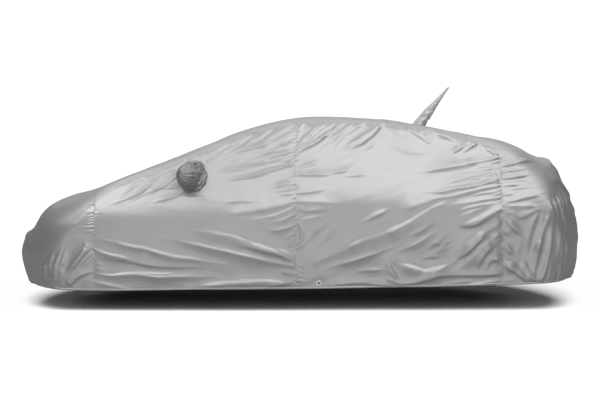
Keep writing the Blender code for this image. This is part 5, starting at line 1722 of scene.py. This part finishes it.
# --- panels -----------------------------------------------------------------------------------
@dataclass
class Shell:
    """All panels of the cover."""

    loft: Loft

    def panels(self) -> list[Panel]:
        """Cut the grid into the sewn panels."""
        loft = self.loft
        rows, top_rows, last = loft.side_rows - 1, loft.top_rows - 1, loft.count - 1
        dense = len(HEM_ROWS)
        left, top = np.arange(rows + 1), np.arange(rows, rows + top_rows + 1)
        right = np.arange(rows + top_rows, loft.girth)
        far = loft.thinned(rows + top_rows, loft.girth - 1, dense)
        corner = np.arange(loft.rear, last + 1)
        none = np.zeros((0, 4), dtype=int)
        sleeve = Opening((AntennaSleeve.place, 0.0), AntennaSleeve.mouth, (0, 1, 2), False)
        pouch = Opening((MirrorPocket.centre[0], MirrorPocket.centre[1] - ROOF_HEIGHT), MirrorPocket.mouth,
                        (0, 2, 1), True)
        eyelet = Opening((EYELET_PLACE[0], EYELET_PLACE[1] - ROOF_HEIGHT), (Eyelet.cut, Eyelet.cut),
                         (0, 2, 1), False)
        over = np.concatenate([loft.thinned(loft.front, loft.rear, dense), corner[1:]])
        found = [
            Panel("top_cloth", ("top_panel", "antenna_patch"), loft.body_quads(over, top), none, (1.62, 3.95),
                  (sleeve,)),
            Panel("nose_cloth", ("nose_panel",),
                  loft.body_quads(np.arange(loft.front + 1), np.arange(loft.girth)),
                  loft.face_quads(loft.nose, True), (2.05, 3.35)),
            Panel("tail_cloth", ("tail_panel",),
                  np.concatenate([loft.body_quads(corner, left), loft.body_quads(corner, right)]),
                  loft.face_quads(loft.tail, False), (1.15, 2.95)),
        ]
        for hand, girth in (("left", left), ("right", far)):
            front, rear = np.arange(loft.front, loft.middle + 1), np.arange(loft.middle, loft.rear + 1)
            if hand == "right":
                front, rear = (loft.thinned(line[0], line[-1], dense) for line in (front, rear))
            found.append(Panel("front_side_cloth_" + hand, ("front_side_" + hand,),
                               loft.body_quads(front, girth), none, (1.30, 1.50), (pouch,)))
            found.append(Panel("rear_side_cloth_" + hand, ("rear_side_" + hand, "grommet_patch_" + hand),
                               loft.body_quads(rear, girth), none, (1.40, 1.54), (eyelet,)))
        return found


# --- studio -----------------------------------------------------------------------------------
@dataclass
class Studio:
    """Plain pale floor, soft lights and the camera."""

    focal_px: float = 1117.0        # focal length, in pixels of the picture
    distance: float = 9.0           # camera to the cover's centre plane
    camera_height: float = 0.90     # above the floor
    pitch: float = 0.513            # degrees that the camera looks down
    floor_size: float = 60.0

    FRAME = 600                     # width of the picture in pixels
    SENSOR = 36.0                   # width of the camera's sensor in millimetres
    ROOM_LIGHT = 0.10               # strength of the room's light on the cover
    BACKGROUND = 1.1                # and behind it
    FLOOR_TONE = "#262626"          # what the floor gives back to the cover
    FLOOR_SEEN = "#585858"          # and to the camera
    # lights for the floor alone: name, degrees above the horizon, degrees round from the front, width in
    # degrees, strength
    FLOOR_LIGHTS = (
        ("floor_front", 37.0, 0.0, 26.0, 44.0), ("floor_low", 16.0, 0.0, 24.0, 11.0),
        ("floor_nose_side", 24.0, -52.0, 20.0, 3.4), ("floor_tail_side", 24.0, 52.0, 20.0, 3.4),
    )
    # lights for the cover alone: name, width and height, place, the point that it faces, watts
    SOFT_BOXES = (
        ("front_left_box", (2.6, 2.4), (-3.2, -4.4, 2.7), (-0.9, -0.8, -0.5), 68),
        ("front_right_box", (6.0, 2.6), (1.8, -4.2, 3.1), (1.1, -0.4, -0.8), 108),
        ("front_fill", (9.0, 2.6), (1.0, -10.5, 0.6), (0.6, 0.0, -0.8), 66),
        ("overhead_soft_box", (11.0, 6.6), (0.0, 0.9, 4.0), (0.0, 0.6, 0.0), 190),
        ("nose_soft_box", (2.6, 2.6), (-4.6, -1.2, 3.2), (-1.9, -0.3, -0.5), 26),
        ("tail_soft_box", (2.6, 2.6), (4.4, -1.4, 3.2), (1.9, -0.4, -0.4), 22),
        ("rear_soft_box", (10.0, 2.6), (0.0, 5.2, 2.4), (0.0, 0.0, 0.0), 36),
    )

    def floor(self) -> None:
        """Make the floor."""
        bpy.ops.mesh.primitive_plane_add(size=self.floor_size, location=(0, 0, -ROOF_HEIGHT))
        made = bpy.context.object
        made.name = "studio_floor"
        material, tree, shader = new_material("white_studio_vinyl")
        path = add_node(tree, "ShaderNodeLightPath")
        tone = add_node(tree, "ShaderNodeMix", {"data_type": "RGBA", "in:6": linear(self.FLOOR_TONE),
                                                "in:7": linear(self.FLOOR_SEEN)},
                        {"0": path.outputs["Is Camera Ray"]})
        tree.links.new(tone.outputs[2], shader.inputs["Base Color"])
        shader.inputs["Roughness"].default_value = 0.9
        shader.inputs["Specular IOR Level"].default_value = 0.08
        made.data.materials.append(material)
        self.floor_object = made

    def lamp(self, name: str, size: tuple, place: tuple, aim: tuple, power: float) -> None:
        """Add a soft box.

        Args:
            name: Name of the lamp.
            size: Its width and height.
            place: Where it hangs.
            aim: The point that it faces.
            power: Its power in watts.
        """
        data = bpy.data.lights.new(name, "AREA")
        data.shape = "RECTANGLE"
        data.size, data.size_y = size
        data.energy = power
        made = bpy.data.objects.new(name, data)
        made.location = place
        made.visible_camera = False
        made.rotation_euler = (Vector(aim) - Vector(place)).to_track_quat("-Z", "Y").to_euler()
        bpy.context.scene.collection.objects.link(made)
        self.link_floor(made, "EXCLUDE")

    def link_floor(self, light: bpy.types.Object, state: str) -> None:
        """Make a light reach only the floor, or all but the floor."""
        listed = bpy.data.collections.new(light.name + "_floor")
        listed.objects.link(self.floor_object)
        light.light_linking.receiver_collection = listed
        listed.collection_objects[0].light_linking.link_state = state

    def sun(self, name: str, height: float, turn: float, width: float, strength: float) -> None:
        """Add a broad even light for the floor.

        Args:
            name: Name of the light.
            height: Degrees above the horizon.
            turn: Degrees round from the front, positive towards the tail.
            width: Width of the light in degrees.
            strength: Its strength in watts a square metre.
        """
        data = bpy.data.lights.new(name, "SUN")
        data.angle = math.radians(width)
        data.energy = strength
        made = bpy.data.objects.new(name, data)
        made.rotation_euler = (math.radians(90 - height), 0, math.radians(turn))
        bpy.context.scene.collection.objects.link(made)
        self.link_floor(made, "INCLUDE")

    def world(self) -> None:
        """Give the room a low even light that looks white behind the cover."""
        world = bpy.data.worlds.new("studio_world")
        bpy.context.scene.world = world
        world.use_nodes = True
        tree = world.node_tree
        tree.nodes.clear()
        path = add_node(tree, "ShaderNodeLightPath")
        dim, white = (
            add_node(tree, "ShaderNodeBackground", {"in:Color": (1, 1, 1, 1), "in:Strength": strength})
            for strength in (self.ROOM_LIGHT, self.BACKGROUND))
        mix = add_node(tree, "ShaderNodeMixShader", None, {"0": path.outputs["Is Camera Ray"],
                                                          "1": dim.outputs[0], "2": white.outputs[0]})
        add_node(tree, "ShaderNodeOutputWorld", None, {"Surface": mix.outputs[0]})

    def camera(self) -> None:
        """Set the camera."""
        data = bpy.data.cameras.new("camera")
        data.sensor_fit = "HORIZONTAL"
        data.sensor_width = self.SENSOR
        data.lens = self.SENSOR * self.focal_px / self.FRAME
        data.clip_end = 200
        made = bpy.data.objects.new("camera", data)
        made.location = (0.0, -self.distance, self.camera_height - ROOF_HEIGHT)
        made.rotation_euler = (math.radians(90 - self.pitch), 0, 0)
        bpy.context.scene.collection.objects.link(made)
        bpy.context.scene.camera = made

    def build(self) -> None:
        """Set up the studio."""
        self.floor()
        self.world()
        self.camera()
        for light in self.FLOOR_LIGHTS:
            self.sun(*light)
        for box in self.SOFT_BOXES:
            self.lamp(*box)
        bpy.context.scene.view_settings.view_transform = "Standard"


def main() -> None:
    """Build the whole scene."""
    logging.basicConfig(level=logging.INFO, format="%(name)s: %(message)s")
    taffeta = CoatedTaffeta().make()
    # the pouches take a darker copy of the cover's own taffeta: painted shade that stands for the pouch
    # catching less light than the side around it
    pouch_cloth_painted_shade = CoatedTaffeta(name="pouch_taffeta_painted_shade", light="#A2A2A4", dark="#8E8E90",
                                roughness=0.44).make()
    nickel = NickelPlate().make()
    thread = SewingThread().make()
    form = Form()
    loft = Loft(form)
    LOG.info("grid of %d stations by %d rows", loft.count, loft.girth)
    for panel in Shell(loft).panels():
        panel.build(loft, taffeta)
        LOG.info("%s: %.2f square metres", panel.name, panel.area)
    for hand, seed in ((-1.0, 301), (1.0, 351)):
        for piece in (MirrorPocket(hand, seed).build(form, pouch_cloth_painted_shade), Eyelet(hand).build(form, nickel)):
            LOG.info("%s: %d faces", piece.name, len(piece.data.polygons))
    sleeve = AntennaSleeve().build(form, taffeta)
    LOG.info("%s: %d faces", sleeve.name, len(sleeve.data.polygons))
    stitching = Stitching()
    tree = stitching.tree()
    for name, lines in (("seam_stitches", loft.seam_lines()), ("hem_stitches", loft.hem_lines())):
        piece = stitching.build(name, loft, lines, tree, thread)
        LOG.info("%s: %d faces", piece.name, len(piece.data.polygons))
    Studio().build()


if __name__ == "__main__":
    main()
